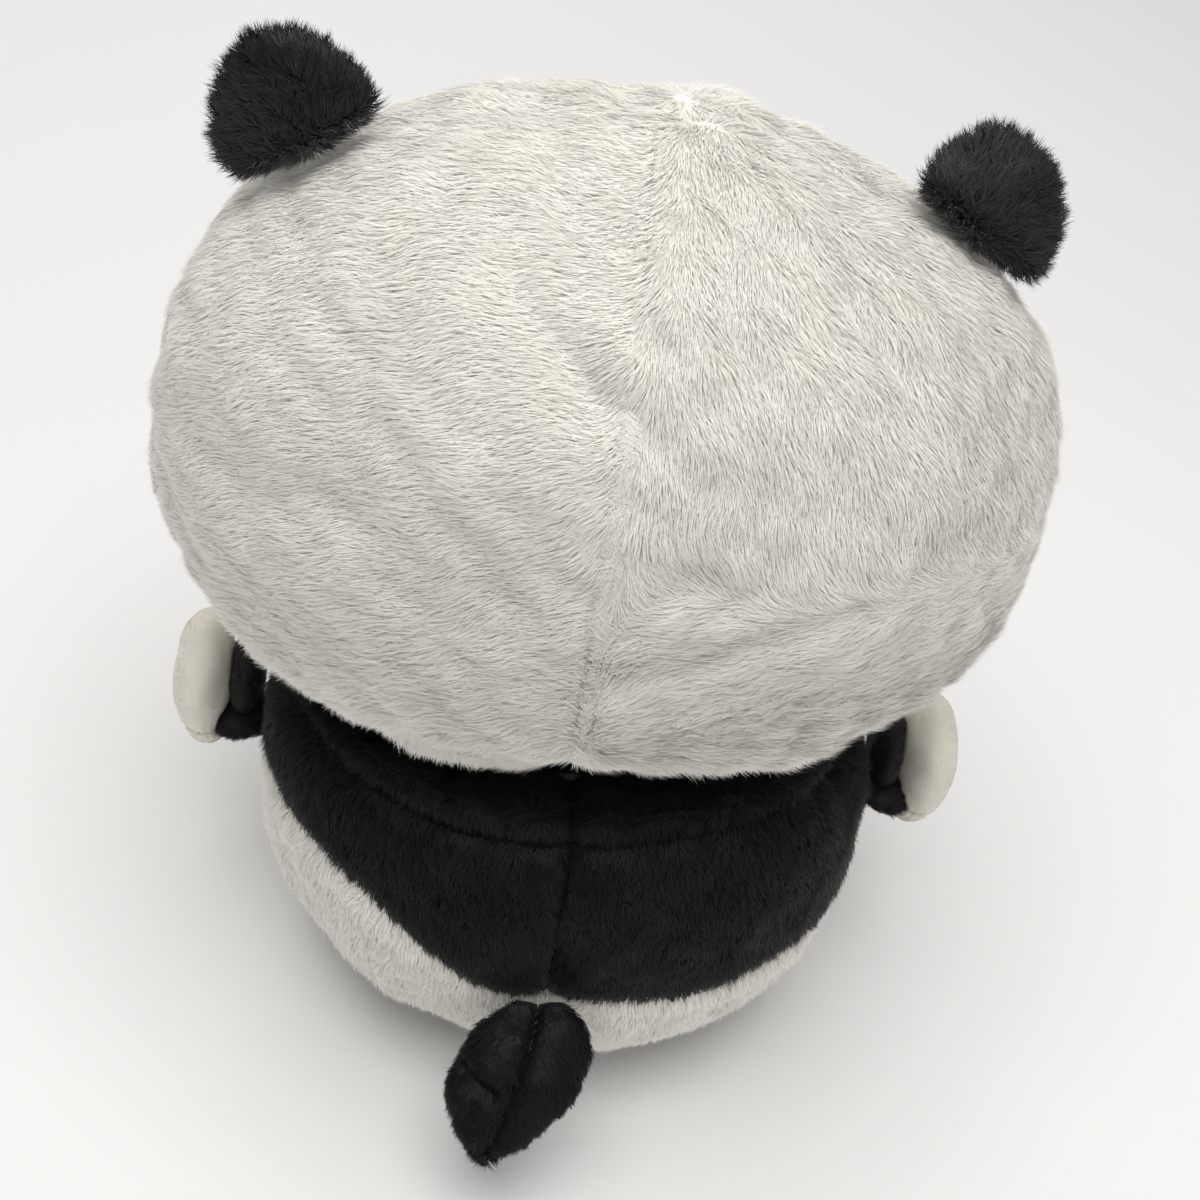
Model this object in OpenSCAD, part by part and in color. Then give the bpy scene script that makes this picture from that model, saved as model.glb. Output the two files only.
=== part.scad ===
// Seated plush panda: fabric panels over stuffing, with sewn, springy limbs.
// Units are millimetres. +Z is up, the face looks along -Y, and the panda's left is +X.
// The origin is on the floor, under the middle of the outline.

/* [Head] */
// Width of the head across the cheeks
head_w = 260; // [252:1:266]
// Depth of the head from face to nape
head_d = 200; // [196:1:204]
// Height of the head from chin to crown
head_h = 199; // [196:1:204]
// Height of the head's middle above the floor
head_z = 208; // [206:1:212]
// How far the head sits to the panda's left of the torso's middle
head_x = 4; // [0:0.5:4]
// Forward droop of the head, in degrees
head_tilt = 7; // [5:1:9]
// Where the ears sit, as an angle from the crown
ear_angle = 41; // [39:1:43]
// Width of an ear at its root
ear_w = 43; // [40:1:46]
// Height of an ear above its seam
ear_h = 26; // [22:1:28]
// Forward lean of the panda's left ear, in degrees
ear_left_lean = 9; // [0:1:20]
// Forward lean of the panda's right ear, in degrees
ear_right_lean = 35; // [0:1:36]

/* [Torso] */
// Width of the torso at its fullest
torso_w = 195; // [190:1:197]
// Depth of the torso at its fullest
torso_d = 170; // [166:1:172]
// Height of the fullest part above the floor
torso_z = 75; // [73:1:76]
// Height of the seam between the dark yoke and the white rump, at the middle of the back
yoke_z = 61; // [58:1:64]
// Height of the same seam where it reaches the panda's left side
yoke_left_z = 87; // [80:1:88]
// Height of the same seam where it reaches the panda's right side
yoke_right_z = 62; // [58:1:66]

/* [Limbs] */
// Radius of a leg at the hip
leg_r = 26; // [24:1:26]
// Length of a leg from its hip centre to its sole
leg_len = 28; // [26:1:32]
// Angle that each leg points outwards
leg_splay = 22; // [18:1:26]
// Height of a paw
mitt_h = 44; // [40:1:46]
// Length of the tail
tail_len = 50; // [47:1:54]
// Droop of the tail below level, in degrees
tail_droop = 47; // [45:1:50]
// How far the tail's tip hangs to the panda's left
tail_bend = 12; // [0:1:14]

/* [Fabric] */
// Thickness of the long-pile plush
plush_t = 3; // [2.6:0.1:3.2]
// Thickness of the short-pile velboa
velboa_t = 2; // [1.6:0.1:2.2]

/* [Hidden] */

$fn = 48;
WHITE = [0.93, 0.92, 0.88];
CREAM = [0.93, 0.90, 0.83];
DARK = [0.13, 0.12, 0.13];
BLACK = [0.03, 0.03, 0.03];
FILL = [0.97, 0.97, 0.97];

seam_gap = 0.4;      // open width left along each seam
fill_gap = 1.4;      // room between a skin and what fills it
head_gap = 7;        // room between the head and the torso, for nodding and turning
origin_y = -7;       // brings the outline's middle over the origin

head_size = [head_w, head_d, head_h] / 2;
head_round = 2.1;    // exponent of the head's super-ellipsoid; 2 is a plain ellipsoid
head_at = [head_x, origin_y, head_z];
face_spread = 78;    // how far the face panel reaches round from its middle, in degrees
neck_hole_r = 38.5;
neck_r = 30;
neck_pivot_z = 165;
neck_foot_z = 88;

torso_y = origin_y + 8;
torso_up = 80;       // from the fullest part up to where the shape would close
torso_down = 82;
torso_round_up = 2.1;
torso_round_down = 2.2;
side_seam = 96;      // the side seams, as an angle from the middle of the back
base_t = 2.5;
base_r = 42;
skin_foot = base_t + 0.3;
bag_top = 28;

eye_at = [41, 5];
eye_r = 8.5;
eye_stem_r = 2.2;
eye_patch = [20, 27];
eye_patch_lean = 24;
patch_t = 1.5;
washer_r = 8;
muzzle_at = [0, -26];
muzzle = [28, 20];
muzzle_h = 15;
nose_at = [0, -15];
nose = [9.5, 5.5, 7];

arm_y = torso_y - 3;
arm_z = 82;
arm_pinch = 4.5;     // half the thickness of an arm where it is sewn flat
forearm = [4.6, 17, 17]; // half-sizes of the fuller front of the arm, which fills the crook by the mitt
forearm_at = [4, -9, 5];
mitt = [9.5, 20, mitt_h / 2];
mitt_round = 2.1;
mitt_seam = 118;     // the mitt's seam, as an angle down from its top

leg_z = leg_r + 2.5;
foot_r = leg_r + 1.5;
foot_edge = 6;
sole_t = 2.4;

// ---- points on the shapes ----

// The point of a super-ellipsoid of half-sizes s along direction d; low is its half-height below the middle.
function egg(s, low, n, d) =
    let (k = pow(pow(abs(d.x), n) + pow(abs(d.y), n) + pow(abs(d.z), n), -1 / n))
    [s.x * d.x * k, s.y * d.y * k, (d.z < 0 ? low : s.z) * d.z * k];

// A unit direction for a point (a, b) of a square, which is wrapped over a cap that spreads round from +Z.
function cap_dir(a, b, spread) =
    let (p = [a * sqrt(1 - b * b / 2), b * sqrt(1 - a * a / 2)], th = spread * norm(p), ph = atan2(p.y, p.x))
    [sin(th) * cos(ph), sin(th) * sin(ph), cos(th)];

function steps(lo, hi, n) = [for (i = [0:n]) lo + (hi - lo) * i / n];
function eased(lo, hi, n) = [for (i = [0:n]) lo + (hi - lo) * (1 - cos(90 * i / n))];
function lerp(p, q, f) = p + (q - p) * f;
function mirrored(side, p) = [side * p.x, p.y, p.z];

// How far a point is out of the head, where 0 is on the head's surface grown by grow.
function out_of_head(p, grow) =
    let (q = p - head_at, c = cos(head_tilt), s = sin(head_tilt))
    let (r = [q.x, q.y * c + q.z * s, q.z * c - q.y * s])
    let (g = head_size + grow * [1, 1, 1], n = head_round)
    pow(abs(r.x / g.x), n) + pow(abs(r.y / g.y), n) + pow(abs(r.z / g.z), n) - 1;

// The height at which a vertical line meets the underside of the grown head.
function chin(x, y, grow, lo = 40, hi = 190, left = 22) =
    left == 0 ? (lo + hi) / 2
    : let (mid = (lo + hi) / 2)
      out_of_head([x, y, mid], grow) > 0
        ? chin(x, y, grow, mid, hi, left - 1) : chin(x, y, grow, lo, mid, left - 1);

// How much of the torso's full radius is left at height z, for a skin set in by inset.
function girth(z, inset) =
    let (up = z > torso_z, h = (up ? torso_up : torso_down) - inset, n = up ? torso_round_up : torso_round_down)
    pow(max(1 - pow(abs(z - torso_z) / h, n), 0.0001), 1 / n);

// A point of the torso at angle turn round from the middle of the back, at height z.
function torso_at(turn, z, inset) =
    let (k = girth(z, inset))
    [(torso_w / 2 - inset) * k * sin(turn), torso_y + (torso_d / 2 - inset) * k * cos(turn), z];

// The height at which the torso's surface meets the grown head.
function rim_z(turn, inset, grow, lo = 90, hi = 150, left = 22) =
    left == 0 ? (lo + hi) / 2
    : let (mid = (lo + hi) / 2)
      out_of_head(torso_at(turn, mid, inset), grow) > 0
        ? rim_z(turn, inset, grow, mid, hi, left - 1) : rim_z(turn, inset, grow, lo, mid, left - 1);

// A point of the hollow in the torso's top, from the rim at f = 0 to the neck opening at f = 1.
function dish_at(turn, f, inset, grow, hole) =
    let (rim = torso_at(turn, rim_z(turn, inset, grow), inset))
    let (p = lerp([rim.x, rim.y], [hole * sin(turn), head_at.y + hole * cos(turn)], f))
    [p.x, p.y, chin(p.x, p.y, grow)];

// Height of the seam round the back at an angle round from its middle.
function yoke_edge(turn) =
    let (side_z = turn > 0 ? yoke_left_z : yoke_right_z, f = min(abs(turn) / 50, 1))
    yoke_z + (side_z - yoke_z) * (1 - cos(180 * f)) / 2;

// One column of a torso panel, from its lower edge up to the rim and in to the neck.
function torso_column(turn, foot, inset, grow) =
    concat([for (z = eased(foot, rim_z(turn, inset, grow) - 0.6, 9)) torso_at(turn, z, inset)],
           [for (f = steps(0.03, 1, 3)) dish_at(turn, f, inset, grow, neck_hole_r)]);

// The head's front surface, in the head's own frame, at (x, z) and raised by lift.
function face_at(x, z, lift) =
    let (n = head_round, k = 1 - pow(abs(x / head_size.x), n) - pow(abs(z / head_size.z), n))
    [x, -head_size.y * pow(k, 1 / n) - lift, z];

function face_lean(x, z) =
    let (p = face_at(x, z, 0), n = head_round - 1)
    let (g = [sign(x) * pow(abs(p.x / head_size.x), n) / head_size.x,
              -pow(abs(p.y / head_size.y), n) / head_size.y,
              sign(z) * pow(abs(p.z / head_size.z), n) / head_size.z])
    g / norm(g);

// ---- solids built from points ----

// A closed sheet between two grids of points; outer faces the way that its rows cross its columns.
module sheet(outer, inner) {
    rows = len(outer);
    cols = len(outer[0]);
    n = rows * cols;
    flat = concat([for (r = outer) for (p = r) p], [for (r = inner) for (p = r) p]);
    quads = concat(
        [for (r = [0:rows - 2]) for (c = [0:cols - 2])
            [r * cols + c, r * cols + c + 1, (r + 1) * cols + c + 1, (r + 1) * cols + c]],
        [for (r = [0:rows - 2]) for (c = [0:cols - 2])
            [n + r * cols + c, n + (r + 1) * cols + c, n + (r + 1) * cols + c + 1, n + r * cols + c + 1]],
        [for (c = [0:cols - 2]) [c + 1, c, n + c, n + c + 1]],
        [for (c = [0:cols - 2]) let (k = (rows - 1) * cols + c) [k, k + 1, n + k + 1, n + k]],
        [for (r = [0:rows - 2]) let (k = r * cols) [k, k + cols, n + k + cols, n + k]],
        [for (r = [0:rows - 2]) let (k = r * cols + cols - 1) [k + cols, k, n + k, n + k + cols]]
    );
    polyhedron(points = flat, faces = [for (q = quads) for (t = [[q[0], q[1], q[2]], [q[0], q[2], q[3]]]) t]);
}

// A closed solid from rings of equal length, wound anticlockwise seen from the last ring.
module stack(rings) {
    m = len(rings[0]);
    last = len(rings) - 1;
    middle = function (ring) [for (k = [0:2]) [for (p = ring) p[k]] * [for (p = ring) 1] / m];
    flat = concat([for (r = rings) for (p = r) p], [middle(rings[0]), middle(rings[last])]);
    ends = len(rings) * m;
    faces = concat(
        [for (r = [0:last - 1]) for (i = [0:m - 1]) let (j = (i + 1) % m)
            for (t = [[r * m + i, (r + 1) * m + i, (r + 1) * m + j],
                      [r * m + i, (r + 1) * m + j, r * m + j]]) t],
        [for (i = [0:m - 1]) [ends, i, (i + 1) % m]],
        [for (i = [0:m - 1]) [ends + 1, last * m + (i + 1) % m, last * m + i]]
    );
    polyhedron(points = flat, faces = faces);
}

// A skin over the part of an egg that spreads round from +Z; a and b bound the square that is wrapped over it.
module cap(s, low, n, t, spread, a = [-1, 1], b = [-1, 1], rows = 10, cols = 10) {
    grid = function (inset) [for (u = steps(a[0], a[1], rows)) [for (v = steps(b[0], b[1], cols))
        egg(s - inset * [1, 1, 1], low - inset, n, cap_dir(u, v, spread))]];
    sheet(grid(0), grid(t));
}

// A closed egg, set in by inset.
module egg_solid(s, low, n, inset, sides = 20, levels = 11) {
    ring = function (lat) [for (i = [0:sides - 1]) let (w = 360 * i / sides)
        egg(s - inset * [1, 1, 1], low - inset, n, [cos(lat) * cos(w), cos(lat) * sin(w), sin(lat)])];
    stack([for (k = [0:levels]) ring(-84 + 168 * k / levels)]);
}

// ---- the torso ----

module torso_panel(from, to, foot, t) {
    turns = steps(from, to, ceil((to - from) / 9));
    sheet([for (w = turns) torso_column(w, foot(w), t, head_gap + t)],
          [for (w = turns) torso_column(w, foot(w), 0, head_gap)]);
}

module yoke(side) {
    gap = 0.13;
    edge = function (w) yoke_edge(w) + seam_gap / 2;
    color(DARK)
    if (side > 0) torso_panel(gap, side_seam - gap, edge, plush_t);
    else torso_panel(-side_seam + gap, -gap, edge, plush_t);
}

module rump_panel(from, to, t) {
    turns = steps(from, to, ceil((to - from) / 9));
    column = function (w, inset)
        [for (z = steps(skin_foot, yoke_edge(w) - seam_gap / 2, 7)) torso_at(w, z, inset)];
    sheet([for (w = turns) column(w, t)], [for (w = turns) column(w, 0)]);
}

module rump(side) {
    gap = 0.13;
    color(WHITE)
    if (side > 0) rump_panel(gap, side_seam - gap, plush_t);
    else rump_panel(-side_seam + gap, -gap, plush_t);
}

module belly_panel() {
    gap = 0.13;
    color(CREAM)
    torso_panel(side_seam + gap, 360 - side_seam - gap, function (w) skin_foot, velboa_t);
}

module base_panel() {
    color(CREAM)
    translate([0, torso_y, 0]) cylinder(h = base_t, r1 = base_r, r2 = base_r + 2);
}

function torso_ring(z, inset) = [for (i = [0:35]) torso_at(-i * 10, z, inset)];
function dish_ring(f, inset, grow) = [for (i = [0:35]) dish_at(-i * 10, f, inset, grow, neck_hole_r)];

module pellet_bag() {
    inset = plush_t + fill_gap;
    color([0.85, 0.85, 0.80])
    stack([for (z = eased(skin_foot + 0.6, bag_top, 6)) torso_ring(z, inset)]);
}

module torso_stuffing() {
    inset = plush_t + fill_gap;
    grow = head_gap + plush_t + fill_gap;
    sides = [for (z = [bag_top + 0.5, 40, 54, 70, 86, 100, 109]) torso_ring(z, inset)];
    color(FILL)
    difference() {
        stack(concat(sides, [for (f = [0.04, 0.35, 0.7, 1]) dish_ring(f, inset, grow)]));
        translate([0, head_at.y, neck_foot_z - 0.4]) cylinder(h = 60, r = neck_r + 0.4);
    }
}

module neck_stuffing() {
    color(FILL)
    translate([0, head_at.y, 0])
    union() {
        translate([0, 0, neck_foot_z]) cylinder(h = neck_pivot_z - neck_foot_z, r = neck_r - 1);
        translate([0, 0, neck_pivot_z]) sphere(r = neck_r);
    }
}

// ---- the head ----

// From the head's own frame, with its origin at the head's middle, to the plush's frame.
module head_frame() translate(head_at) rotate([head_tilt, 0, 0]) children();
// Turns +Z to the way the face looks.
module to_front() rotate([90, 0, 0]) children();
module to_back() rotate([-90, 0, 0]) children();

// The stretch round the neck that stays open, in the plush's frame.
module neck_opening() {
    translate([0, head_at.y, 60]) cylinder(h = neck_pivot_z - 60, r = neck_hole_r);
}

head_panel_size = [head_size.x, head_size.z, head_size.y];

module head_back(side) {
    edge = 0.0016;
    color(WHITE)
    difference() {
        head_frame() to_back()
        cap(head_panel_size, head_panel_size.z, head_round, plush_t, 180 - face_spread - 0.25,
            a = side > 0 ? [edge, 1] : [-1, -edge], rows = 9, cols = 16);
        neck_opening();
    }
}

// Turns +Z along the line that an eye is pushed in on, at height lift over the face.
module on_face(x, z, lift) {
    g = face_lean(x, z);
    translate(face_at(x, z, 0) + lift * g) rotate([0, acos(g.z), atan2(g.y, g.x)]) children();
}

module eye_holes(r) {
    for (side = [-1, 1]) on_face(side * eye_at.x, eye_at.y, 0) translate([0, 0, -12]) cylinder(h = 20, r = r);
}

module face_panel() {
    color(CREAM)
    difference() {
        head_frame() to_front()
        cap(head_panel_size, head_panel_size.z, head_round, velboa_t, face_spread, rows = 14, cols = 14);
        neck_opening();
        head_frame() eye_holes(eye_stem_r + 0.3);
    }
}

module head_stuffing() {
    color(FILL)
    difference() {
        head_frame() egg_solid(head_size, head_size.z, head_round, plush_t + fill_gap, 28, 15);
        translate([0, head_at.y, 60]) cylinder(h = neck_pivot_z - 60, r = neck_hole_r);
        translate([0, head_at.y, neck_pivot_z]) sphere(r = neck_hole_r);
        head_frame()
        for (side = [-1, 1]) on_face(side * eye_at.x, eye_at.y, 0)
            translate([0, 0, -14]) cylinder(h = 14, r = washer_r + 0.5);
    }
}

// Fabric laid on the face: an oval at c with half-sizes s, between the heights low and high over the face.
module laid(c, s, lean, low, high, rows = 8, cols = 8) {
    grid = function (lift) [for (a = steps(-1, 1, rows)) [for (b = steps(-1, 1, cols))
        let (p = [a * sqrt(1 - b * b / 2), b * sqrt(1 - a * a / 2)])
        let (q = [p.x * s.x, p.y * s.y])
        face_at(c.x + q.x * cos(lean) - q.y * sin(lean),
                c.y + q.x * sin(lean) + q.y * cos(lean), lift(norm(p)))]];
    sheet(grid(high), grid(low));
}

module eye_patch(side) {
    color(DARK)
    head_frame()
    difference() {
        laid([side * (eye_at.x + 4), eye_at.y - 5], eye_patch, side * eye_patch_lean,
             function (r) 0.4, function (r) 0.4 + patch_t);
        eye_holes(eye_stem_r + 0.3);
    }
}

module eye(side) {
    color(BLACK)
    head_frame()
    on_face(side * eye_at.x, eye_at.y, 0.4 + patch_t + 0.5)
    union() {
        intersection() {
            translate([0, 0, -eye_r * 0.35]) sphere(r = eye_r * 1.06);
            cylinder(h = 2 * eye_r, r = 2 * eye_r);
        }
        translate([0, 0, -12]) cylinder(h = 12.5, r = eye_stem_r);
    }
}

module washer(r, bore, t) {
    difference() {
        cylinder(h = t, r = r);
        translate([0, 0, -1]) cylinder(h = t + 2, r = bore);
    }
}

module eye_washers() {
    color(WHITE)
    head_frame()
    for (side = [-1, 1]) on_face(side * eye_at.x, eye_at.y, 0)
        translate([0, 0, -velboa_t - 3.2]) washer(washer_r, eye_stem_r + 0.2, 1.6);
}

function muzzle_bump(r) = muzzle_h * pow(max(1 - r * r, 0), 0.5);

module nose_line(lift) {
    p = face_at(nose_at.x, nose_at.y, 0);
    translate([p.x, p.y - lift, p.z]) to_front() children();
}

module muzzle_panel() {
    color(CREAM)
    head_frame()
    difference() {
        laid(muzzle_at, muzzle, 0, function (r) 0.4 + max(muzzle_bump(r) - velboa_t, 0),
             function (r) 1.4 + muzzle_bump(r), 10, 10);
        nose_line(0) cylinder(h = 30, r = eye_stem_r + 0.3);
    }
}

module muzzle_stuffing() {
    color(FILL)
    head_frame()
    difference() {
        laid(muzzle_at, muzzle * 0.82, 0, function (r) 0.8,
             function (r) muzzle_bump(r * 0.82) - velboa_t - 0.9);
        nose_line(-1) cylinder(h = 30, r = washer_r - 2);
    }
}

nose_lift = muzzle_bump((nose_at.y - muzzle_at.y) / muzzle.y) + 1.4;

module nose() {
    color(BLACK)
    head_frame()
    nose_line(nose_lift + 1.6)
    union() {
        intersection() {
            scale([nose.x, nose.z, nose.y]) sphere(r = 1);
            cylinder(h = 20, r = 20);
        }
        translate([0, 0, -9]) cylinder(h = 9.5, r = eye_stem_r);
    }
}

module nose_washer() {
    color(WHITE)
    head_frame()
    nose_line(nose_lift - velboa_t - 6.2) washer(washer_r - 2.6, eye_stem_r + 0.2, 1.4);
}

// A thread of radius r through points, as a closed tube.
module thread(points, r) {
    last = len(points) - 1;
    ring = function (i)
        let (along = points[min(i + 1, last)] - points[max(i - 1, 0)])
        let (d = along / norm(along), u = cross([0, 1, 0], d), n = u / norm(u), m = cross(d, n))
        [for (k = [0:7]) points[i] + r * (n * cos(45 * k) + m * sin(45 * k))];
    stack([for (i = [0:last]) ring(i)]);
}

function on_muzzle(x, z) =
    let (r = norm([(x - muzzle_at.x) / muzzle.x, (z - muzzle_at.y) / muzzle.y]))
    face_at(x, z, 1.4 + muzzle_bump(r) + 1.3);

module mouth_stitching() {
    lip = -29;
    smile = 10;
    color(BLACK)
    head_frame() {
        thread([for (z = steps(-23.5, lip + 1.2, 4)) on_muzzle(0, z)], 0.7);
        for (side = [-1, 1])
            thread([for (a = steps(8, 78, 8))
                on_muzzle(side * (smile * 1.1 * (1 - cos(a)) + 0.9), lip - smile * 0.42 * sin(2 * a))], 0.7);
    }
}

// ---- the ears ----

ear = [ear_w / 2, 6.5, ear_h];
ear_root = 4.5;          // depth of an ear below its hinge line
ear_lift = ear_root + 2.2; // height of the hinge line over the head
ear_back = 12;           // how far the ears are set behind the head's middle
ear_point = egg(head_size, head_size.z, head_round, [sin(ear_angle), 0, cos(ear_angle)]) + [0, ear_back, 0];
ear_slope = let (n = head_round - 1)
    atan2(pow(ear_point.x / head_size.x, n) / head_size.x, pow(ear_point.z / head_size.z, n) / head_size.z);

module ear_frame(side) {
    head_frame()
    translate(mirrored(side, ear_point))
    rotate([0, side * ear_slope, 0])
    translate([0, 0, ear_lift])
    rotate([side > 0 ? ear_left_lean : ear_right_lean, 0, 0]) children();
}

// One half of an ear, split where its front and back panels meet; way is -1 for the front.
module ear_skin(side, way) {
    grid = function (inset) [for (a = steps(-1, 1, 10)) [for (b = steps(-1, 1, 10))
        let (d = cap_dir(a, b, 88.5))
        egg(ear - inset * [1, 1, 1], ear_root - inset, head_round, [d.x, way * d.z, -way * d.y])]];
    color(DARK)
    ear_frame(side) sheet(grid(0), grid(plush_t * 0.8));
}

module ear_stuffing(side) {
    color(FILL)
    ear_frame(side) egg_solid(ear, ear_root, head_round, plush_t * 0.8 + 0.9, 20, 9);
}

// ---- the arms ----

arm_pivot = let (p = torso_at(90, arm_z, 0)) [p.x + 0.6 + arm_pinch, arm_y, arm_z];
mitt_at = arm_pivot + [18.5, -10, 7];

sleeve_lean = [-0.8, 0.8]; // how far the sleeve runs forward and up for each mm outwards

// The dark part of an arm: a flat strip out of the side seam, and the fuller forearm that it carries.
module sleeve(side) {
    // Each row: distance from the hinge line, half-width along Y, half-thickness.
    spans = [[-4.4, 9, 1.2], [-3.2, 10, 3.1], [0, 10.5, arm_pinch], [4, 10, 4.8], [7, 9.5, 5], [8.6, 8.5, 4.6]];
    ring = function (s) [for (i = [0:15]) let (w = 22.5 * i)
        [side * (arm_pivot.x + s[0]), arm_pivot.y + max(s[0], 0) * sleeve_lean.x + side * s[1] * cos(w),
         arm_pivot.z + max(s[0], 0) * sleeve_lean.y + s[2] * sin(w)]];
    color(DARK)
    union() {
        stack([for (s = spans) ring(s)]);
        translate(mirrored(side, arm_pivot + forearm_at)) egg_solid(forearm, forearm.z, mitt_round, 0, 24, 13);
    }
}

module mitt_frame(side) translate(mirrored(side, mitt_at)) children();

module mitt_upper(side) {
    color(CREAM)
    mitt_frame(side) cap(mitt, mitt.z, mitt_round, velboa_t, mitt_seam - 0.6);
}

module mitt_under(side) {
    color(CREAM)
    mitt_frame(side) rotate([180, 0, 0]) cap(mitt, mitt.z, mitt_round, velboa_t, 180 - mitt_seam - 0.6);
}

module mitt_stuffing(side) {
    color(FILL)
    mitt_frame(side) egg_solid(mitt, mitt.z, mitt_round, velboa_t + 0.9, 18, 9);
}

// ---- the legs ----

hip_turn = 148;      // where a leg meets the torso, as an angle from the middle of the back
hip_skin = torso_at(hip_turn, leg_z, 0);
hip_gap = 5;
leg_pivot = hip_skin + (leg_r + hip_gap) * [sin(hip_turn - 4), cos(hip_turn - 4), 0];

// From a frame with +Z along a leg and its hip at the origin, to the plush's frame.
module leg_frame(side) translate(mirrored(side, leg_pivot)) rotate([90, 0, side * leg_splay]) children();

// Half the outline of a leg, set in by inset: a round hip, a tube that widens, and a rounded foot.
function leg_outline(inset) = concat(
    [for (a = steps(-90, 0, 9)) (leg_r - inset) * [cos(a), sin(a)]],
    [for (a = steps(0, 60, 4))
        [foot_r - foot_edge + (foot_edge - inset) * cos(a), leg_len - foot_edge + (foot_edge - inset) * sin(a)]]
);

module leg(side) {
    outer = leg_outline(0);
    inner = leg_outline(plush_t);
    rim = [for (i = [len(inner) - 1:-1:1]) inner[i]];
    side_line = [for (i = [1:len(outer) - 1]) outer[i]];
    color(DARK)
    leg_frame(side) rotate_extrude() polygon(concat([[0, -leg_r]], side_line, rim, [[0, -leg_r + plush_t]]));
}

module sole(side) {
    color(CREAM)
    leg_frame(side) translate([0, 0, leg_len - 0.4])
    cylinder(h = sole_t, r1 = foot_r - foot_edge * 0.5, r2 = foot_r - foot_edge);
}

module leg_stuffing(side) {
    outline = leg_outline(plush_t + 1);
    color(FILL)
    leg_frame(side) rotate_extrude() polygon(concat(outline, [[0, outline[len(outline) - 1].y]]));
}

// ---- the tail ----

tail_root = 3;       // half the thickness of the tail where it is sewn flat
tail_x = 2.5;        // how far the tail is sewn to the panda's left of the back seam
tail_z = 66;
tail_pivot = let (p = torso_at(0, tail_z, 0)) [tail_x, p.y + 0.6 + tail_root, tail_z];
// Each row: share of the length, half-width, half-thickness.
tail_spans = [[0, 9, 2.6], [0.07, 12.5, 4.4], [0.18, 16.5, 6.8], [0.34, 20, 9], [0.5, 20.5, 9.6],
              [0.66, 17.5, 8.8], [0.82, 11, 6.8], [0.93, 5.5, 4.2], [1, 1.6, 1.6]];

function tail_side(share) = tail_bend * pow(share, 1.6);

// From a frame with +Z along the tail, and its seam side along +Y, to the plush's frame.
module tail_frame() translate(tail_pivot) rotate([-90 - tail_droop, 0, 0]) children();

module tail_skin(side) {
    arc = function (s, inset) [for (w = steps(-90, 90, 12))
        [tail_side(s[0]) + side * (seam_gap / 2 + max(s[1] - inset, 0.5) * cos(w)),
         max(s[2] - inset, 0.5) * sin(w) * -1, s[0] * tail_len]];
    outer = [for (s = tail_spans) arc(s, 0)];
    inner = [for (s = tail_spans) arc(s, plush_t * 0.8)];
    color(DARK)
    tail_frame()
    if (side > 0) sheet(outer, inner);
    else sheet(inner, outer);
}

module tail_stuffing() {
    color(FILL)
    tail_frame()
    stack([for (s = [for (i = [1:6]) tail_spans[i]]) [for (i = [0:19])
        [tail_side(s[0]) + (s[1] - plush_t - 0.6) * cos(18 * i), (s[2] - plush_t - 0.6) * sin(18 * i),
         s[0] * tail_len]]]);
}

// ---- what is drawn ----

yoke(1);  // yoke_left
yoke(-1);  // yoke_right
rump(1);  // rump_left
rump(-1);  // rump_right
belly_panel();
base_panel();
torso_stuffing();
pellet_bag();
neck_stuffing();
head_back(1);  // head_back_left
head_back(-1);  // head_back_right
face_panel();
head_stuffing();
eye_patch(1);  // eye_patch_left
eye_patch(-1);  // eye_patch_right
eye(1);  // eye_left
eye(-1);  // eye_right
eye_washers();
muzzle_panel();
muzzle_stuffing();
nose();
nose_washer();
mouth_stitching();
ear_skin(1, -1);  // ear_left_front
ear_skin(1, 1);  // ear_left_back
ear_stuffing(1);  // ear_left_stuffing
ear_skin(-1, -1);  // ear_right_front
ear_skin(-1, 1);  // ear_right_back
ear_stuffing(-1);  // ear_right_stuffing
sleeve(1);  // sleeve_left
mitt_upper(1);  // mitt_left_upper
mitt_under(1);  // mitt_left_under
mitt_stuffing(1);  // mitt_left_stuffing
sleeve(-1);  // sleeve_right
mitt_upper(-1);  // mitt_right_upper
mitt_under(-1);  // mitt_right_under
mitt_stuffing(-1);  // mitt_right_stuffing
leg(1);  // leg_left
sole(1);  // sole_left
leg_stuffing(1);  // leg_left_stuffing
leg(-1);  // leg_right
sole(-1);  // sole_right
leg_stuffing(-1);  // leg_right_stuffing
tail_skin(1);  // tail_left
tail_skin(-1);  // tail_right
tail_stuffing();
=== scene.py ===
import math
from functools import partial

import bpy
import numpy as np
from mathutils import Matrix, Vector


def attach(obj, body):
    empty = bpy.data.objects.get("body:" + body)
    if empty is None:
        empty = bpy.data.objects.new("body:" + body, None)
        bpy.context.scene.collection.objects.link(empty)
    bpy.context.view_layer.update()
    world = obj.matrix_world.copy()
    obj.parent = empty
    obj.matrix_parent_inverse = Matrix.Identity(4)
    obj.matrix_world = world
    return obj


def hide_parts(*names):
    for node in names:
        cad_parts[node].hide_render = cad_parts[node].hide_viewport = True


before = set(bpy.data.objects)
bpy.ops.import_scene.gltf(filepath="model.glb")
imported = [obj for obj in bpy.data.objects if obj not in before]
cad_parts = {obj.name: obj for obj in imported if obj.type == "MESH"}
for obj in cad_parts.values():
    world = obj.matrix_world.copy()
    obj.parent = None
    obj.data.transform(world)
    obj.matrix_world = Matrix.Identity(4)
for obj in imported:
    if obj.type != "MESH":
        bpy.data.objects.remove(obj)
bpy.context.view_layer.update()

# Everything below is in millimetres in the row frame until a mesh is made.
MM = 0.001
ORIGIN_Y = -7.0                          # the neck's axis
HEAD = np.array([130.0, 100.0, 99.5])    # the head's half-sizes
HEAD_AT = np.array([4.0, ORIGIN_Y, 208.0])
HEAD_TILT = 7.0                          # degrees forward
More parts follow.
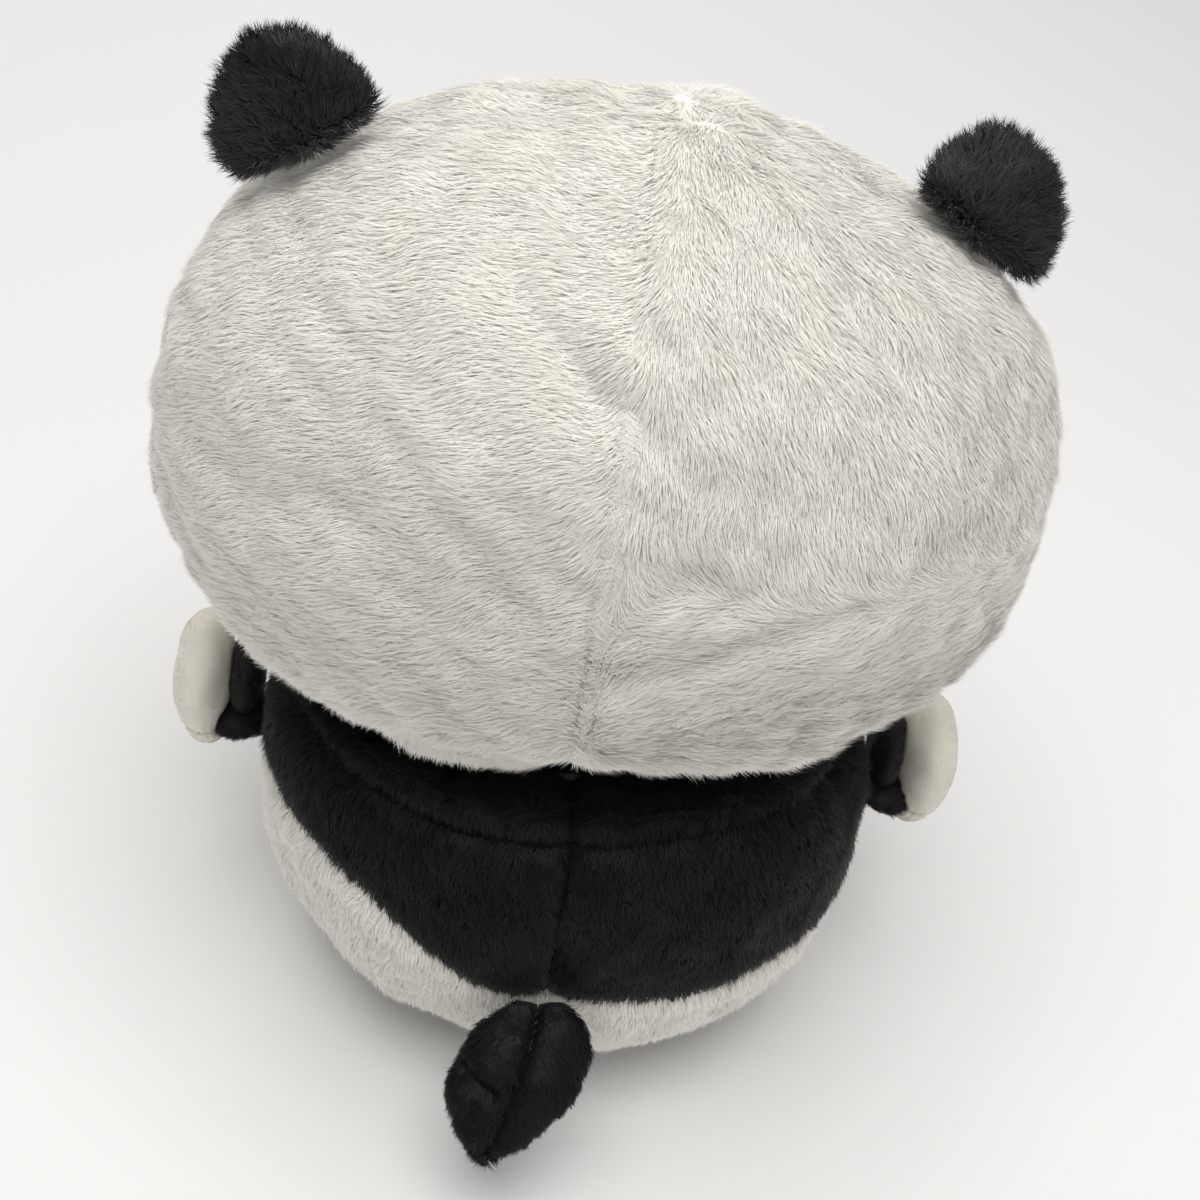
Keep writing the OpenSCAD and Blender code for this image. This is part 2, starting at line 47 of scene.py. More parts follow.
ROUND = 2.1                              # 2 is an ellipsoid, more is squarer
FACE_SPREAD = 78.0                       # degrees from the face's middle to its seam
HEM_Y = -20.4                            # that seam on the head's own y
TORSO_Y = ORIGIN_Y + 8.0
TORSO_Z = 75.0                           # height of the torso's widest level
TORSO = (97.5, 85.0)                     # half-width and half-depth there
TORSO_UP, TORSO_DOWN = 80.0, 82.0        # half-heights above and below it
UP_ROUND, DOWN_ROUND = 2.1, 2.2
SIDE_SEAM = 96.0                         # degrees from straight behind
HEAD_GAP = 7.0                           # from the head's full shape to the torso's fabric
NECK_HOLE = 38.5                         # radius the torso's panels leave open for the neck
SKIN_FOOT = 2.8                          # height of their lowest edge
INSET = 2.8                              # from the fabric's full thickness to the backing of the long pile
SIDES = ((1, "left"), (-1, "right"))
UP = np.array([0.0, 0.0, 1.0])
FRONT = np.array([0.0, -1.0, 0.0])


def rad(a):
    return a * math.pi / 180.0


def unit(v):
    return v / np.maximum(np.linalg.norm(v, axis=-1, keepdims=True), 1e-9)


def smooth(x, lo, hi):
    t = np.clip((x - lo) / (hi - lo), 0.0, 1.0)
    return t * t * (3.0 - 2.0 * t)


def gauss(x, w):
    return np.exp(-((x / w) ** 2))


def way(like, x, y, z):
    """The direction (x, y, z) once for each element of like."""
    return np.stack([x + 0 * like, y + 0 * like, z + 0 * like], -1)


def facing(n, out):
    """The normals n, turned over as a whole if they point against out."""
    return n if (n * out).sum() > 0 else -n


class Waves:
    """A smooth random field: a sum of plane waves about length mm long, near -1 to 1."""

    def __init__(self, seed, length, count=14):
        r = np.random.default_rng(seed)
        d = unit(r.normal(size=(count, 3)))
        self.k = d * (2.0 * math.pi / (length * r.uniform(0.65, 1.5, count)))[:, None]
        self.p = r.uniform(0.0, 2.0 * math.pi, count)
        self.a = math.sqrt(0.5 / count)

    def __call__(self, p):
        return np.sin(p @ self.k.T + self.p).sum(-1) * self.a * 1.4

    def slope(self, p):
        return (np.cos(p @ self.k.T + self.p) @ self.k) * self.a * 1.4


def turn_x(p, degrees):
    c, s = math.cos(rad(degrees)), math.sin(rad(degrees))
    return np.stack([p[..., 0], p[..., 1] * c - p[..., 2] * s, p[..., 1] * s + p[..., 2] * c], -1)


def turn_y(p, degrees):
    c, s = math.cos(rad(degrees)), math.sin(rad(degrees))
    return np.stack([p[..., 0] * c + p[..., 2] * s, p[..., 1], p[..., 2] * c - p[..., 0] * s], -1)


def turn_z(p, degrees):
    c, s = math.cos(rad(degrees)), math.sin(rad(degrees))
    return np.stack([p[..., 0] * c - p[..., 1] * s, p[..., 0] * s + p[..., 1] * c, p[..., 2]], -1)


def egg(size, low, n, d):
    """Points and outward normals of a super-ellipsoid along directions d; low is its half-height below the middle."""
    k = (np.abs(d) ** n).sum(-1, keepdims=True) ** (-1.0 / n)
    s = np.broadcast_to(np.array(size, float), d.shape).copy()
    s[..., 2] = np.where(d[..., 2] < 0, low, s[..., 2])
    p = s * d * k
    g = np.sign(d) * np.abs(d * k) ** (n - 1.0) / s
    return p, unit(g)


def cap_dirs(a, b, spread):
    """Directions for points of a square wrapped over a cap round +Z, as the CAD does."""
    u = a * np.sqrt(1.0 - b * b / 2.0)
    v = b * np.sqrt(1.0 - a * a / 2.0)
    r = np.sqrt(u * u + v * v)
    th, ph = rad(spread) * r, np.arctan2(v, u)
    return np.stack([np.sin(th) * np.cos(ph), np.sin(th) * np.sin(ph), np.cos(th)], -1)


# ---- materials ----

def shader(name, color, rough, **more):
    m = bpy.data.materials.new(name)
    m.use_nodes = True
    b = m.node_tree.nodes["Principled BSDF"]
    b.inputs["Base Color"].default_value = (*color, 1.0)
    b.inputs["Roughness"].default_value = rough
    for k, v in more.items():
        b.inputs[k.replace("_", " ")].default_value = v
    m.diffuse_color = (*color, 1.0)
    return m, m.node_tree, b


def texture(tree, kind, **values):
    """A new shader node with its inputs set."""
    made = tree.nodes.new("ShaderNode" + kind)
    for k, v in values.items():
        made.inputs[k.replace("_", " ")].default_value = v
    return made


def two_tone(tree, dark, light, low=0.0, high=1.0):
    ramp = tree.nodes.new("ShaderNodeValToRGB")
    for end, at, color in zip(ramp.color_ramp.elements, (low, high), (dark, light)):
        end.position, end.color = at, (*color, 1.0)
    return ramp


PLAIN_SHADES = 4


def strand_shades(name, color, spread, rough, sheen, warm=0.0):
    """Plain shades of one pile, from dark to light; a strand takes one of them."""
    made = []
    for i, f in enumerate(np.linspace(-1.0, 1.0, PLAIN_SHADES)):
        c = [max(0.0, min(1.0, x * (1.0 + spread * f + warm * f * w))) for x, w in zip(color, (1, 0, -1))]
        m, _, _ = shader(f"{name}_{i}", c, rough, Sheen_Weight=sheen, Sheen_Roughness=0.4, Specular_IOR_Level=0.2)
        made.append(m)
    return made


def cloth(name, dark, light, scale, rough=0.9, sheen=0.3, bump=0.3, fine=1800.0):
    """Short pile or backing cloth: two-scale colour mottling and a fine nap."""
    m, t, b = shader(name, light, rough, Sheen_Weight=sheen, Sheen_Roughness=0.45, Specular_IOR_Level=0.2)
    l = t.links
    at = texture(t, "TexCoord")
    big = texture(t, "TexNoise", Scale=scale, Detail=4.0)
    nap = texture(t, "TexNoise", Scale=fine, Detail=2.0)
    mix = texture(t, "Math")
    mix.operation = "MULTIPLY_ADD"
    mix.inputs[1].default_value = 0.45
    ramp = two_tone(t, dark, light, 0.5, 0.95)
    lift = texture(t, "Bump", Strength=bump, Distance=0.0006)
    for x in (big, nap):
        l.new(at.outputs["Object"], x.inputs["Vector"])
    l.new(nap.outputs["Fac"], mix.inputs[0])
    l.new(big.outputs["Fac"], mix.inputs[2])
    l.new(mix.outputs[0], ramp.inputs["Fac"])
    l.new(ramp.outputs["Color"], b.inputs["Base Color"])
    l.new(nap.outputs["Fac"], lift.inputs["Height"])
    l.new(lift.outputs["Normal"], b.inputs["Normal"])
    return m


def moulded(name, dark, light, rough_lo, rough_hi, coat):
    """Moulded plastic with faint flow marks and uneven gloss."""
    m, t, b = shader(name, light, rough_lo, Coat_Weight=coat, Coat_Roughness=0.06)
    l = t.links
    at = texture(t, "TexCoord")
    flow = texture(t, "TexNoise", Scale=160.0, Detail=5.0)
    ramp = two_tone(t, dark, light)
    level = texture(t, "MapRange", To_Min=rough_lo, To_Max=rough_hi)
    l.new(at.outputs["Object"], flow.inputs["Vector"])
    l.new(flow.outputs["Fac"], ramp.inputs["Fac"])
    l.new(flow.outputs["Fac"], level.inputs["Value"])
    l.new(ramp.outputs["Color"], b.inputs["Base Color"])
    l.new(level.outputs["Result"], b.inputs["Roughness"])
    return m


WHITE_PILE = strand_shades("white_pile", (0.93, 0.912, 0.862), 0.015, 0.85, 0.25, 0.006)
DARK_PILE = strand_shades("dark_pile", (0.007, 0.0066, 0.007), 0.70, 0.50, 0.08)
EAR_PILE = strand_shades("ear_pile", (0.022, 0.021, 0.0205), 0.75, 0.42, 0.30)
# A pale grey shade for a few tiny dark-pile strands: painted glints, specks of highlight on the dark fur.
DARK_PILE.append(shader("dark_pile_painted_glint", (0.42, 0.42, 0.40), 0.5)[0])
CREAM_NAP = strand_shades("cream_nap", (0.90, 0.865, 0.785), 0.02, 0.8, 0.25)
# The white backing has its own mottling, and on the whole it is a little darker than the white pile: that darkening is
# painted shade where the skin shows between strands.
WHITE_BACKING = cloth("white_backing", (0.88, 0.86, 0.81), (0.93, 0.91, 0.86), 60.0)
DARK_BACKING = cloth("dark_backing", (0.006, 0.006, 0.007), (0.016, 0.015, 0.016), 60.0, sheen=0.05)
CREAM = cloth("cream_velboa", (0.74, 0.705, 0.63), (0.88, 0.845, 0.765), 45.0, sheen=0.35, bump=0.35)
DARK_VELBOA = cloth("dark_velboa", (0.012, 0.011, 0.012), (0.028, 0.026, 0.028), 70.0, sheen=0.15, bump=0.4)
FIBRE = cloth("fibre", (0.75, 0.75, 0.74), (0.9, 0.9, 0.89), 90.0, sheen=0.2, bump=0.8, fine=600.0)
PELLETS = cloth("pellet_cloth", (0.62, 0.60, 0.54), (0.78, 0.76, 0.70), 120.0, sheen=0.1, bump=1.0, fine=260.0)
BLACK = moulded("black_plastic", (0.006, 0.006, 0.006), (0.012, 0.012, 0.012), 0.12, 0.22, 0.6)
WASHER = moulded("washer_plastic", (0.72, 0.72, 0.71), (0.82, 0.82, 0.81), 0.4, 0.55, 0.0)
THREAD = cloth("thread", (0.010, 0.010, 0.010), (0.035, 0.034, 0.034), 200.0, rough=0.6, bump=0.8, fine=2600.0)


# ---- meshes ----

def add(name, data):
    o = bpy.data.objects.new(name, data)
    bpy.context.scene.collection.objects.link(o)
    return o


def mesh_object(name, verts, faces_flat, loop_totals, materials, picks=None):
    """A mesh object from verts in mm, a flat list of corner indices and each face's corner count."""
    me = bpy.data.meshes.new(name)
    me.vertices.add(len(verts))
    me.vertices.foreach_set("co", (np.asarray(verts) * MM).astype(np.float32).ravel())
    me.loops.add(len(faces_flat))
    me.loops.foreach_set("vertex_index", np.asarray(faces_flat, np.int32))
    me.polygons.add(len(loop_totals))
    starts = np.concatenate([[0], np.cumsum(loop_totals)[:-1]]).astype(np.int32)
    me.polygons.foreach_set("loop_start", starts)
    me.polygons.foreach_set("loop_total", np.asarray(loop_totals, np.int32))
    for m in materials:
        me.materials.append(m)
    if picks is not None:
        me.polygons.foreach_set("material_index", np.asarray(picks, np.int32))
    me.update(calc_edges=True)
    me.polygons.foreach_set("use_smooth", np.ones(len(loop_totals), bool))
    return add(name, me)


def square(rows, cols):
    return np.meshgrid(np.linspace(-1, 1, rows), np.linspace(-1, 1, cols), indexing="ij")


def circle(steps):
    return np.linspace(0, 2 * math.pi, steps, endpoint=False)[None]


def grid_index(p, closed):
    """The grid's vertex numbers, and those at the left and at the right of each cell column."""
    rows, cols = p.shape[:2]
    idx = np.arange(rows * cols).reshape(rows, cols)
    return (idx, idx, np.roll(idx, -1, 1)) if closed else (idx, idx[:, :-1], idx[:, 1:])


def shell(name, p, n, thick, material, closed=False, at=None):
    """A closed skin: the grid p, its copy thick mm inside, and the rim between them.

    closed joins the last column to the first. at brings points and directions to the row frame.
    """
    if at:
        p, n = at(p), at(n, False)
    idx, left, right = grid_index(p, closed)
    out = np.stack([left[:-1], right[:-1], right[1:], left[1:]], -1).reshape(-1, 4)
    k = idx.size
    rims = [np.stack([t, s, s + k, t + k], -1) for s, t in ((left[0], right[0]), (right[-1], left[-1]))]
    if not closed:
        rims.append(np.stack([idx[:-1, 0], idx[1:, 0], idx[1:, 0] + k, idx[:-1, 0] + k], -1))
        rims.append(np.stack([idx[1:, -1], idx[:-1, -1], idx[:-1, -1] + k, idx[1:, -1] + k], -1))
    quads = np.concatenate([out, out[:, ::-1] + k, *rims])
    flat = p.reshape(-1, 3)
    verts = np.concatenate([flat, flat - n.reshape(-1, 3) * thick])
    # Turn the faces outwards where the grid runs the other way.
    q = quads[len(out) // 2]
    face = np.cross(verts[q[1]] - verts[q[0]], verts[q[3]] - verts[q[0]])
    if face @ n.reshape(-1, 3)[q[0]] < 0:
        quads = quads[:, ::-1]
    return mesh_object(name, verts, quads.ravel(), np.full(len(quads), 4), [material])


class Skin:
    """A surface grid that pile grows from, with points and normals in mm."""

    def __init__(self, p, n, closed=False):
        _, left, right = grid_index(p, closed)
        a, b, c, d = (x.ravel() for x in (left[:-1], right[:-1], right[1:], left[1:]))
        self.tri = np.concatenate([np.stack([a, b, c], -1), np.stack([a, c, d], -1)])
        self.p, self.n = p.reshape(-1, 3), n.reshape(-1, 3)
        v = self.p[self.tri]
        self.area = 0.5 * np.linalg.norm(np.cross(v[:, 1] - v[:, 0], v[:, 2] - v[:, 0]), axis=1)

    def roots(self, count, seed, keep=None):
        r = np.random.default_rng(seed)
        t = r.choice(len(self.tri), count, p=self.area / self.area.sum())
        u, v = r.random(count), r.random(count)
        over = u + v > 1.0
        u[over], v[over] = 1.0 - u[over], 1.0 - v[over]
        w = np.stack([1.0 - u - v, u, v], -1)[..., None]
        p = (self.p[self.tri[t]] * w).sum(1)
        n = unit((self.n[self.tri[t]] * w).sum(1))
        if keep is not None:
            stay = r.random(count) < keep(p)
            p, n = p[stay], n[stay]
        return p, n

    def near(self, count, seed, where):
        """Roots in the part of the skin that where() picks."""
        spare = self.area
        self.area = spare * where(self.p[self.tri].mean(1))
        made = self.roots(count, seed)
        self.area = spare
        return made


def relief(p, n, height, step=0.6):
    """Raises a surface by height(p) along its normals, and returns the raised points and their new normals."""
    ref = np.where(np.abs(n[..., 2:3]) < 0.9, UP, np.array([1.0, 0.0, 0.0]))
    t1 = unit(np.cross(ref, n))
    t2 = np.cross(n, t1)
    h = height(p)
    g1 = (height(p + t1 * step) - height(p - t1 * step)) / (2 * step)
    g2 = (height(p + t2 * step) - height(p - t2 * step)) / (2 * step)
    return p + n * h[..., None], unit(n - t1 * g1[..., None] - t2 * g2[..., None])


MAX_STRANDS = 62000      # in one mesh
# Size and lift of the tiny pale strands that paint glints on dark pile.
GLINT_SIZE, GLINT_LIFT = 0.09, 0.8


def strands(count):
    return count


def pile(name, body, slot, shades, p, n, comb, length, lean=(46.0, 78.0), width=0.30, swirl=12.0, mess=0.20,
         clump=0.4, clump_size=8.0, seed=1, sink=0.8, flat=0.93, stiff=1.0, glint_share=0.0, roll=0.95, at=None):
    """Strands of pile as tapered, curved ribbons from roots p with normals n, lying along comb.

    lean is the strand's angle from the normal at its root and at its tip, in degrees. swirl and mess turn it
    in the surface, clump draws tips together over clump_size mm, stiff scatters the lean, flat is how far the
    shading follows the surface, roll is the ribbon's own twist, and the last argument is the share of strands
    shrunk to tiny pale specks: painted glints on the pile.
    """
    if at:
        p, n, comb = at(p), at(n, False), at(comb, False)
    r = np.random.default_rng(seed)
    count = len(p)
    length = np.broadcast_to(length, (count,)) * r.uniform(0.70, 1.15, count)
    tang = unit(comb - n * (comb * n).sum(-1, keepdims=True))
    side = np.cross(n, tang)
    drift = Waves(seed + 11, clump_size * 2.6)(p) * rad(swirl) + r.normal(0.0, mess, count)
    tang = tang * np.cos(drift)[:, None] + side * np.sin(drift)[:, None]
    a0 = rad(lean[0]) + r.normal(0.0, 0.14, count) * stiff
    a1 = rad(lean[1]) + r.normal(0.0, 0.10, count) * stiff + 0.10 * Waves(seed + 5, clump_size * 2)(p)
    d0 = n * np.cos(a0)[:, None] + tang * np.sin(a0)[:, None]
    d1 = n * np.cos(a1)[:, None] + tang * np.sin(a1)[:, None]
    tuft = Waves(seed + 3, clump_size, 22)
    pull = tuft.slope(p + tang * length[:, None] * 0.5) * clump_size * 0.32
    fine = Waves(seed + 4, clump_size * 0.42, 22).slope(p) * clump_size * 0.06
    pull = (pull + fine) * clump
    pull -= n * (pull * n).sum(-1, keepdims=True)
    root = p - n * sink
    mid = root + d0 * (length * 0.5)[:, None] + pull * 0.25
    tip = mid + d1 * (length * 0.5)[:, None] + pull
    for q in (mid, tip):
        q[:, 2] = np.maximum(q[:, 2], 0.5)
    along = unit(tip - root)
    wide = unit(np.cross(along, n))
    spin = r.uniform(-roll, roll, count)
    wide = wide * np.cos(spin)[:, None] + np.cross(along, wide) * np.sin(spin)[:, None]
    w = (width * r.uniform(0.7, 1.25, count))[:, None]
    verts = np.stack([root - wide * w * 0.5, root + wide * w * 0.5,
                      mid - wide * w * 0.42, mid + wide * w * 0.42, tip], 1)
    face_n = np.cross(wide, along)
    away = (face_n * n).sum(-1) < 0
    face_n[away] *= -1.0
    norm = unit(n * flat + face_n * (1.0 - flat) + along * 0.05)
    shade = Waves(seed + 7, 26.0)(p) * 0.9 + r.normal(0.0, 0.9, count)
    pick = np.clip(np.floor(shade + PLAIN_SHADES / 2.0), 0, PLAIN_SHADES - 1).astype(int)
    # A few strands take the pale shade, shrink to specks and lift above the pile: painted glints.
    glinted = r.random(count) < glint_share
    pick[glinted] = len(shades) - 1
    centre = mid[glinted][:, None]
    verts[glinted] = centre + (verts[glinted] - centre) * GLINT_SIZE + n[glinted][:, None] * GLINT_LIFT
    parts = max(1, math.ceil(count / MAX_STRANDS))
    for i in range(parts):
        s = slice(i, None, parts)
        v = verts[s].reshape(-1, 3)
        m = len(v) // 5
        base = (np.arange(m) * 5)[:, None]
        turned = away[s][:, None]
        quad = base + np.where(turned, np.array([0, 2, 3, 1]), np.array([0, 1, 3, 2]))
        tri = base + np.where(turned, np.array([2, 4, 3]), np.array([2, 3, 4]))
        corners = np.concatenate([quad, tri], 1).ravel()
        totals = np.tile([4, 3], m)
        o = mesh_object(f"{name}_{i + 1}" if parts > 1 else name, v, corners, totals, shades, np.repeat(pick[s], 2))
        o.data.normals_split_custom_set_from_vertices(np.repeat(norm[s], 5, 0).astype(np.float32))
        place(o, body)


def place(o, body, nodes=()):
    """Hides the CAD nodes that a piece stands for, and gives the piece its body."""
    if nodes:
        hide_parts(*nodes)
    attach(o, body)


def grid_normals(p, closed=False):
    """Normals of a grid of points, on the side away from its middle."""
    du = np.roll(p, -1, 1) - np.roll(p, 1, 1) if closed else np.gradient(p, axis=1)
    return facing(unit(np.cross(np.gradient(p, axis=0), du)), p - p.reshape(-1, 3).mean(0))


def raised(p, height, closed=False):
    """A grid raised by height along its normals: its new points, its new normals and its old ones."""
    n = grid_normals(p, closed)
    q = p + n * np.asarray(height)[..., None]
    return q, grid_normals(q, closed), n


def curve(t, xs, ys):
    """A smooth curve through the points (xs, ys), read at t."""
    xs, ys = np.array(xs, float), np.array(ys, float)
    m = np.gradient(ys, xs)
    i = np.clip(np.searchsorted(xs, t, side="right") - 1, 0, len(xs) - 2)
    h = xs[i + 1] - xs[i]
    u = (t - xs[i]) / h
    a, b, c, d = 2 * u**3 - 3 * u**2 + 1, u**3 - 2 * u**2 + u, -2 * u**3 + 3 * u**2, u**3 - u**2
    return a * ys[i] + b * h * m[i] + c * ys[i + 1] + d * h * m[i + 1]


def closed_form(name, p, material):
    """A closed solid from a grid whose columns go all the way round, with its two ends drawn together."""
    idx, _, right = grid_index(p, True)
    quads = np.stack([idx[:-1], right[:-1], right[1:], idx[1:]], -1).reshape(-1, 4)
    verts = np.concatenate([p.reshape(-1, 3), p[0].mean(0)[None], p[-1].mean(0)[None]])
    k, cols = idx.size, idx.shape[1]
    ends = np.concatenate([np.stack([right[0], idx[0], np.full(cols, k)], -1),
                           np.stack([idx[-1], right[-1], np.full(cols, k + 1)], -1)])
    q = quads[len(quads) // 2]
    face = np.cross(verts[q[1]] - verts[q[0]], verts[q[3]] - verts[q[0]])
    if face @ (verts[q[0]] - verts.mean(0)) < 0:
        quads, ends = quads[:, ::-1], ends[:, ::-1]
    flat = np.concatenate([quads.ravel(), ends.ravel()])
    totals = np.concatenate([np.full(len(quads), 4), np.full(len(ends), 3)])
    return mesh_object(name, verts, flat, totals, [material])


def fibre(node, body, voxel, inset, rough, material, size=14.0):
    """The filling of a stuffed form: the CAD's solid remeshed finely, drawn in and made lumpy."""
    o = add(f"{node}_fibre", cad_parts[node].data.copy())
    even = o.modifiers.new("even", "REMESH")
    even.mode = "VOXEL"
    even.voxel_size = voxel * MM
    me = bpy.data.meshes.new_from_object(o.evaluated_get(bpy.context.evaluated_depsgraph_get()))
    o.modifiers.clear()
    o.data = me
    co, no = np.empty(len(me.vertices) * 3, np.float32), np.empty(len(me.vertices) * 3, np.float32)
    me.vertices.foreach_get("co", co)
    me.vertex_normals.foreach_get("vector", no)
    p, n = co.reshape(-1, 3) / MM, no.reshape(-1, 3)
    seed = sum(map(ord, node))
    h = -inset + rough * (Waves(seed, size)(p) + 0.5 * Waves(seed + 1, size * 0.45)(p))
    me.vertices.foreach_set("co", ((p + n * np.minimum(h, -0.1)[:, None]) * MM).astype(np.float32).ravel())
    me.polygons.foreach_set("use_smooth", np.ones(len(me.polygons), bool))
    me.materials.clear()
    me.materials.append(material)
    me.update()
    place(o, body, [node])


# ---- the head ----

def to_head(p):
    """From the row frame to the head's own upright frame."""
    return turn_x(p - HEAD_AT, -HEAD_TILT)


def from_head(p, point=True):
    """A point, or a direction, of the head's own frame brought to the row frame."""
    p = turn_x(p, HEAD_TILT)
    return p + HEAD_AT if point else p


def dent(q, a, b, w):
    """How near points q of the head's own frame are to the segment from a to b, as a soft valley w mm wide."""
    a, b = np.array(a, float), np.array(b, float)
    d = b - a
    t = np.clip(((q - a) @ d) / (d @ d), 0.0, 1.0)
    return gauss(np.linalg.norm(q - a - t[..., None] * d, axis=-1), w)


lumps_big = Waves(21, 95.0)
lumps_mid = Waves(22, 38.0)
lumps_small = Waves(23, 15.0)


def face_height(q):
    """Relief of the face: full cheeks, a soft brow and the pull of the eyes' and the muzzle's stitching."""
    h = 0.8 * lumps_big(q) + 0.5 * lumps_mid(q) + 0.25 * lumps_small(q)
    for side in (-1, 1):
        h = h - 1.1 * dent(q, (side * 52, -80, -12), (side * 40, -80, 24), 30.0)
    h = h - 1.2 * dent(q, (0, -85, -18), (0, -85, -34), 30.0)
    return np.minimum(h, 0.2) - 0.4 - 1.0 * smooth(q[..., 1], -40.0, -20.0) - 2.4 * smooth(q[..., 2], 40.0, 72.0)


def head_height(q):
    """Relief of the head's plush in its own frame: lumps of stuffing, the seams' valleys and the worn creases."""
    h = 1.7 * lumps_big(q) + 1.1 * lumps_mid(q) + 0.55 * lumps_small(q)
    for at, w, rise in HEAD_SWELLS:
        h = h + rise * gauss(np.linalg.norm(q - np.array(at, float), axis=-1), w)
    back = smooth(q[..., 1], -10.0, 25.0)
    low = smooth(-q[..., 2], 20.0, 95.0)
    h = h - back * gauss(q[..., 0], 4.5) * (0.2 + 5.0 * low**2)
    h = h - back * gauss(q[..., 0], 13.0) * 2.2 * low
    h = h - 1.6 * gauss(q[..., 1] - 6.0, 5.0)
    for a, b, w, deep in HEAD_CREASES:
        h = h - deep * dent(q, a, b, w)
    hem = 1.0 - smooth(q[..., 1], HEM_Y, HEM_Y + 4.5)
    return h * (1.0 - hem) + (face_height(q) + INSET + 0.3) * hem


# Where the stuffing is fuller or slacker than the plain shape: a point of the head's own frame, a width and a rise.
HEAD_SWELLS = [
    ((-10, 0, 98), 32.0, 3.2),
    ((-60, 10, 88), 26.0, -3.0),
    ((-122, 10, 42), 28.0, 3.0),
    ((108, 20, -58), 30.0, 3.5),
]

# Creases pressed into the plush: their ends on the head's own frame, their width and their depth.
HEAD_CREASES = [
    ((30, 62, 72), (8, 80, 52), 5.5, 3.2),
    ((8, 80, 52), (-6, 84, 46), 7.5, 3.0),
    ((-16, 96, 12), (-30, 97, 8), 9.0, 3.2),
    ((-8, 97, -24), (-62, 84, 4), 5.0, 3.4),
    ((-22, 78, 56), (-30, 74, 58), 8.0, 2.2),
    ((62, 84, 12), (92, 66, 8), 9.0, 2.2),
]


def head_back_comb(q):
    """Which way the pile lies on the back of the head, in the head's own frame."""
    x, z = q[..., 0], q[..., 2]
    left = smooth(x, -14.0, 14.0)
    side = way(x, 1.0, 0.0, -0.25)
    down = way(x, 0.05 * np.sign(x), 0.0, -1.0)
    steep = way(x, -0.15, 0.0, -1.0)
    cross = way(x, -0.8, 0.0, 0.55)
    mid = smooth(-z, -35.0, 15.0)[..., None]
    right_up = steep * (1.0 - mid) + cross * mid
    up = side * left[..., None] + right_up * (1.0 - left[..., None])
    lo = smooth(-z, 35.0, 85.0)[..., None]
    return unit(up * (1.0 - lo) + down * lo)


def head_grid(side, rows, cols):
    a = np.linspace(0.0016, 1.0, rows) * side
    b = np.linspace(-1.0, 1.0, cols)
    A, B = np.meshgrid(a, b, indexing="ij")
    d = cap_dirs(A, B, 180.0 - FACE_SPREAD - 0.25)
    d = np.stack([d[..., 0], d[..., 2], -d[..., 1]], -1)
    return egg(HEAD, HEAD[2], ROUND, d)


def head_back(side, name):
    q, n = head_grid(side, 84, 150)
    q, n = relief(q - n * INSET, n, head_height)
    o = shell(f"{name}_skin", q, n, 1.6, WHITE_BACKING, at=from_head)
    place(o, "head", [name])
    skin = Skin(q, n)
    roots, rn = skin.roots(strands(220000), 100 + side, lambda s: 1.0 - 0.9 * smooth(-s[:, 2], 86.0, 94.0))
    low = smooth(-roots[:, 2], 20.0, 75.0)
    near_seam = gauss(roots[:, 0], 7.0) * low
    length = 6.6 + 2.6 * low - 1.6 * near_seam
    pile(f"{name}_pile", "head", "white_plush", WHITE_PILE, roots, rn, head_back_comb(roots), length,
         lean=(54.0, 80.0), width=0.24, clump=0.18, mess=0.12, flat=0.99, roll=0.4, seed=300 + side, at=from_head)
    edge = skin.near(strands(9000), 500 + side, lambda v: (np.abs(v[:, 0]) < 2.6) & (v[:, 2] < 50.0))
    across = head_back_comb(edge[0]) + np.array([-side * 1.2, 0.0, 0.0])
    pile(f"{name}_seam_pile", "head", "white_plush", WHITE_PILE, *edge, across, 5.2, seed=510 + side, at=from_head)


for side, word in SIDES:
    head_back(side, f"head_back_{word}")


def face_cap(rows, cols):
    d = cap_dirs(*square(rows, cols), FACE_SPREAD)
    return egg(HEAD, HEAD[2], ROUND, np.stack([d[..., 0], -d[..., 2], d[..., 1]], -1))


def face_panel():
    q, n = face_cap(110, 110)
    q, n = relief(q, n, face_height)
    o = shell("face_panel_skin", q, n, 1.4, CREAM, at=from_head)
    place(o, "head", ["face_panel"])
    roots, rn = Skin(q, n).roots(strands(60000), 131, lambda s: 1.0 - 0.95 * smooth(-s[:, 2], 82.0, 92.0))
    x, z = roots[:, 0], roots[:, 2] + 20.0
    comb = way(x, x * 0.02, 0.0, -0.6 + z * 0.004)
    pile("face_panel_nap", "head", "cream_velboa", CREAM_NAP, roots, rn, comb, 2.3, width=0.26, clump=0.2,
         clump_size=6.0, seed=331, sink=0.5, at=from_head)


def face_at(x, z):
    k = 1.0 - np.abs(x / HEAD[0]) ** ROUND - np.abs(z / HEAD[2]) ** ROUND
    return np.stack([x, -HEAD[1] * k ** (1.0 / ROUND), z], -1)


def laid(centre, size, lean, low, high, rows=56, cols=56):
    """An oval of fabric on the face between two heights: its lower and its upper points, in the head's own frame."""
    a, b = square(rows, cols)
    x, y = a * np.sqrt(1.0 - b * b / 2.0), b * np.sqrt(1.0 - a * a / 2.0)
    r = np.sqrt(x * x + y * y)
    x, y = x * size[0], y * size[1]
    c, s = math.cos(rad(lean)), math.sin(rad(lean))
    p = face_at(centre[0] + x * c - y * s, centre[1] + x * s + y * c)
    return p + FRONT * low(r)[..., None], p + FRONT * high(r)[..., None]


def laid_piece(name, material, lower, upper):
    o = shell(name + "_skin", upper, upper - lower, 1.0, material, at=from_head)
    place(o, "head", [name])


EYE_AT = (41.0, 5.0)
PATCH, PATCH_LEAN = (20.0, 27.0), 24.0
MUZZLE_AT, MUZZLE, MUZZLE_H = (0.0, -26.0), (28.0, 20.0), 15.0


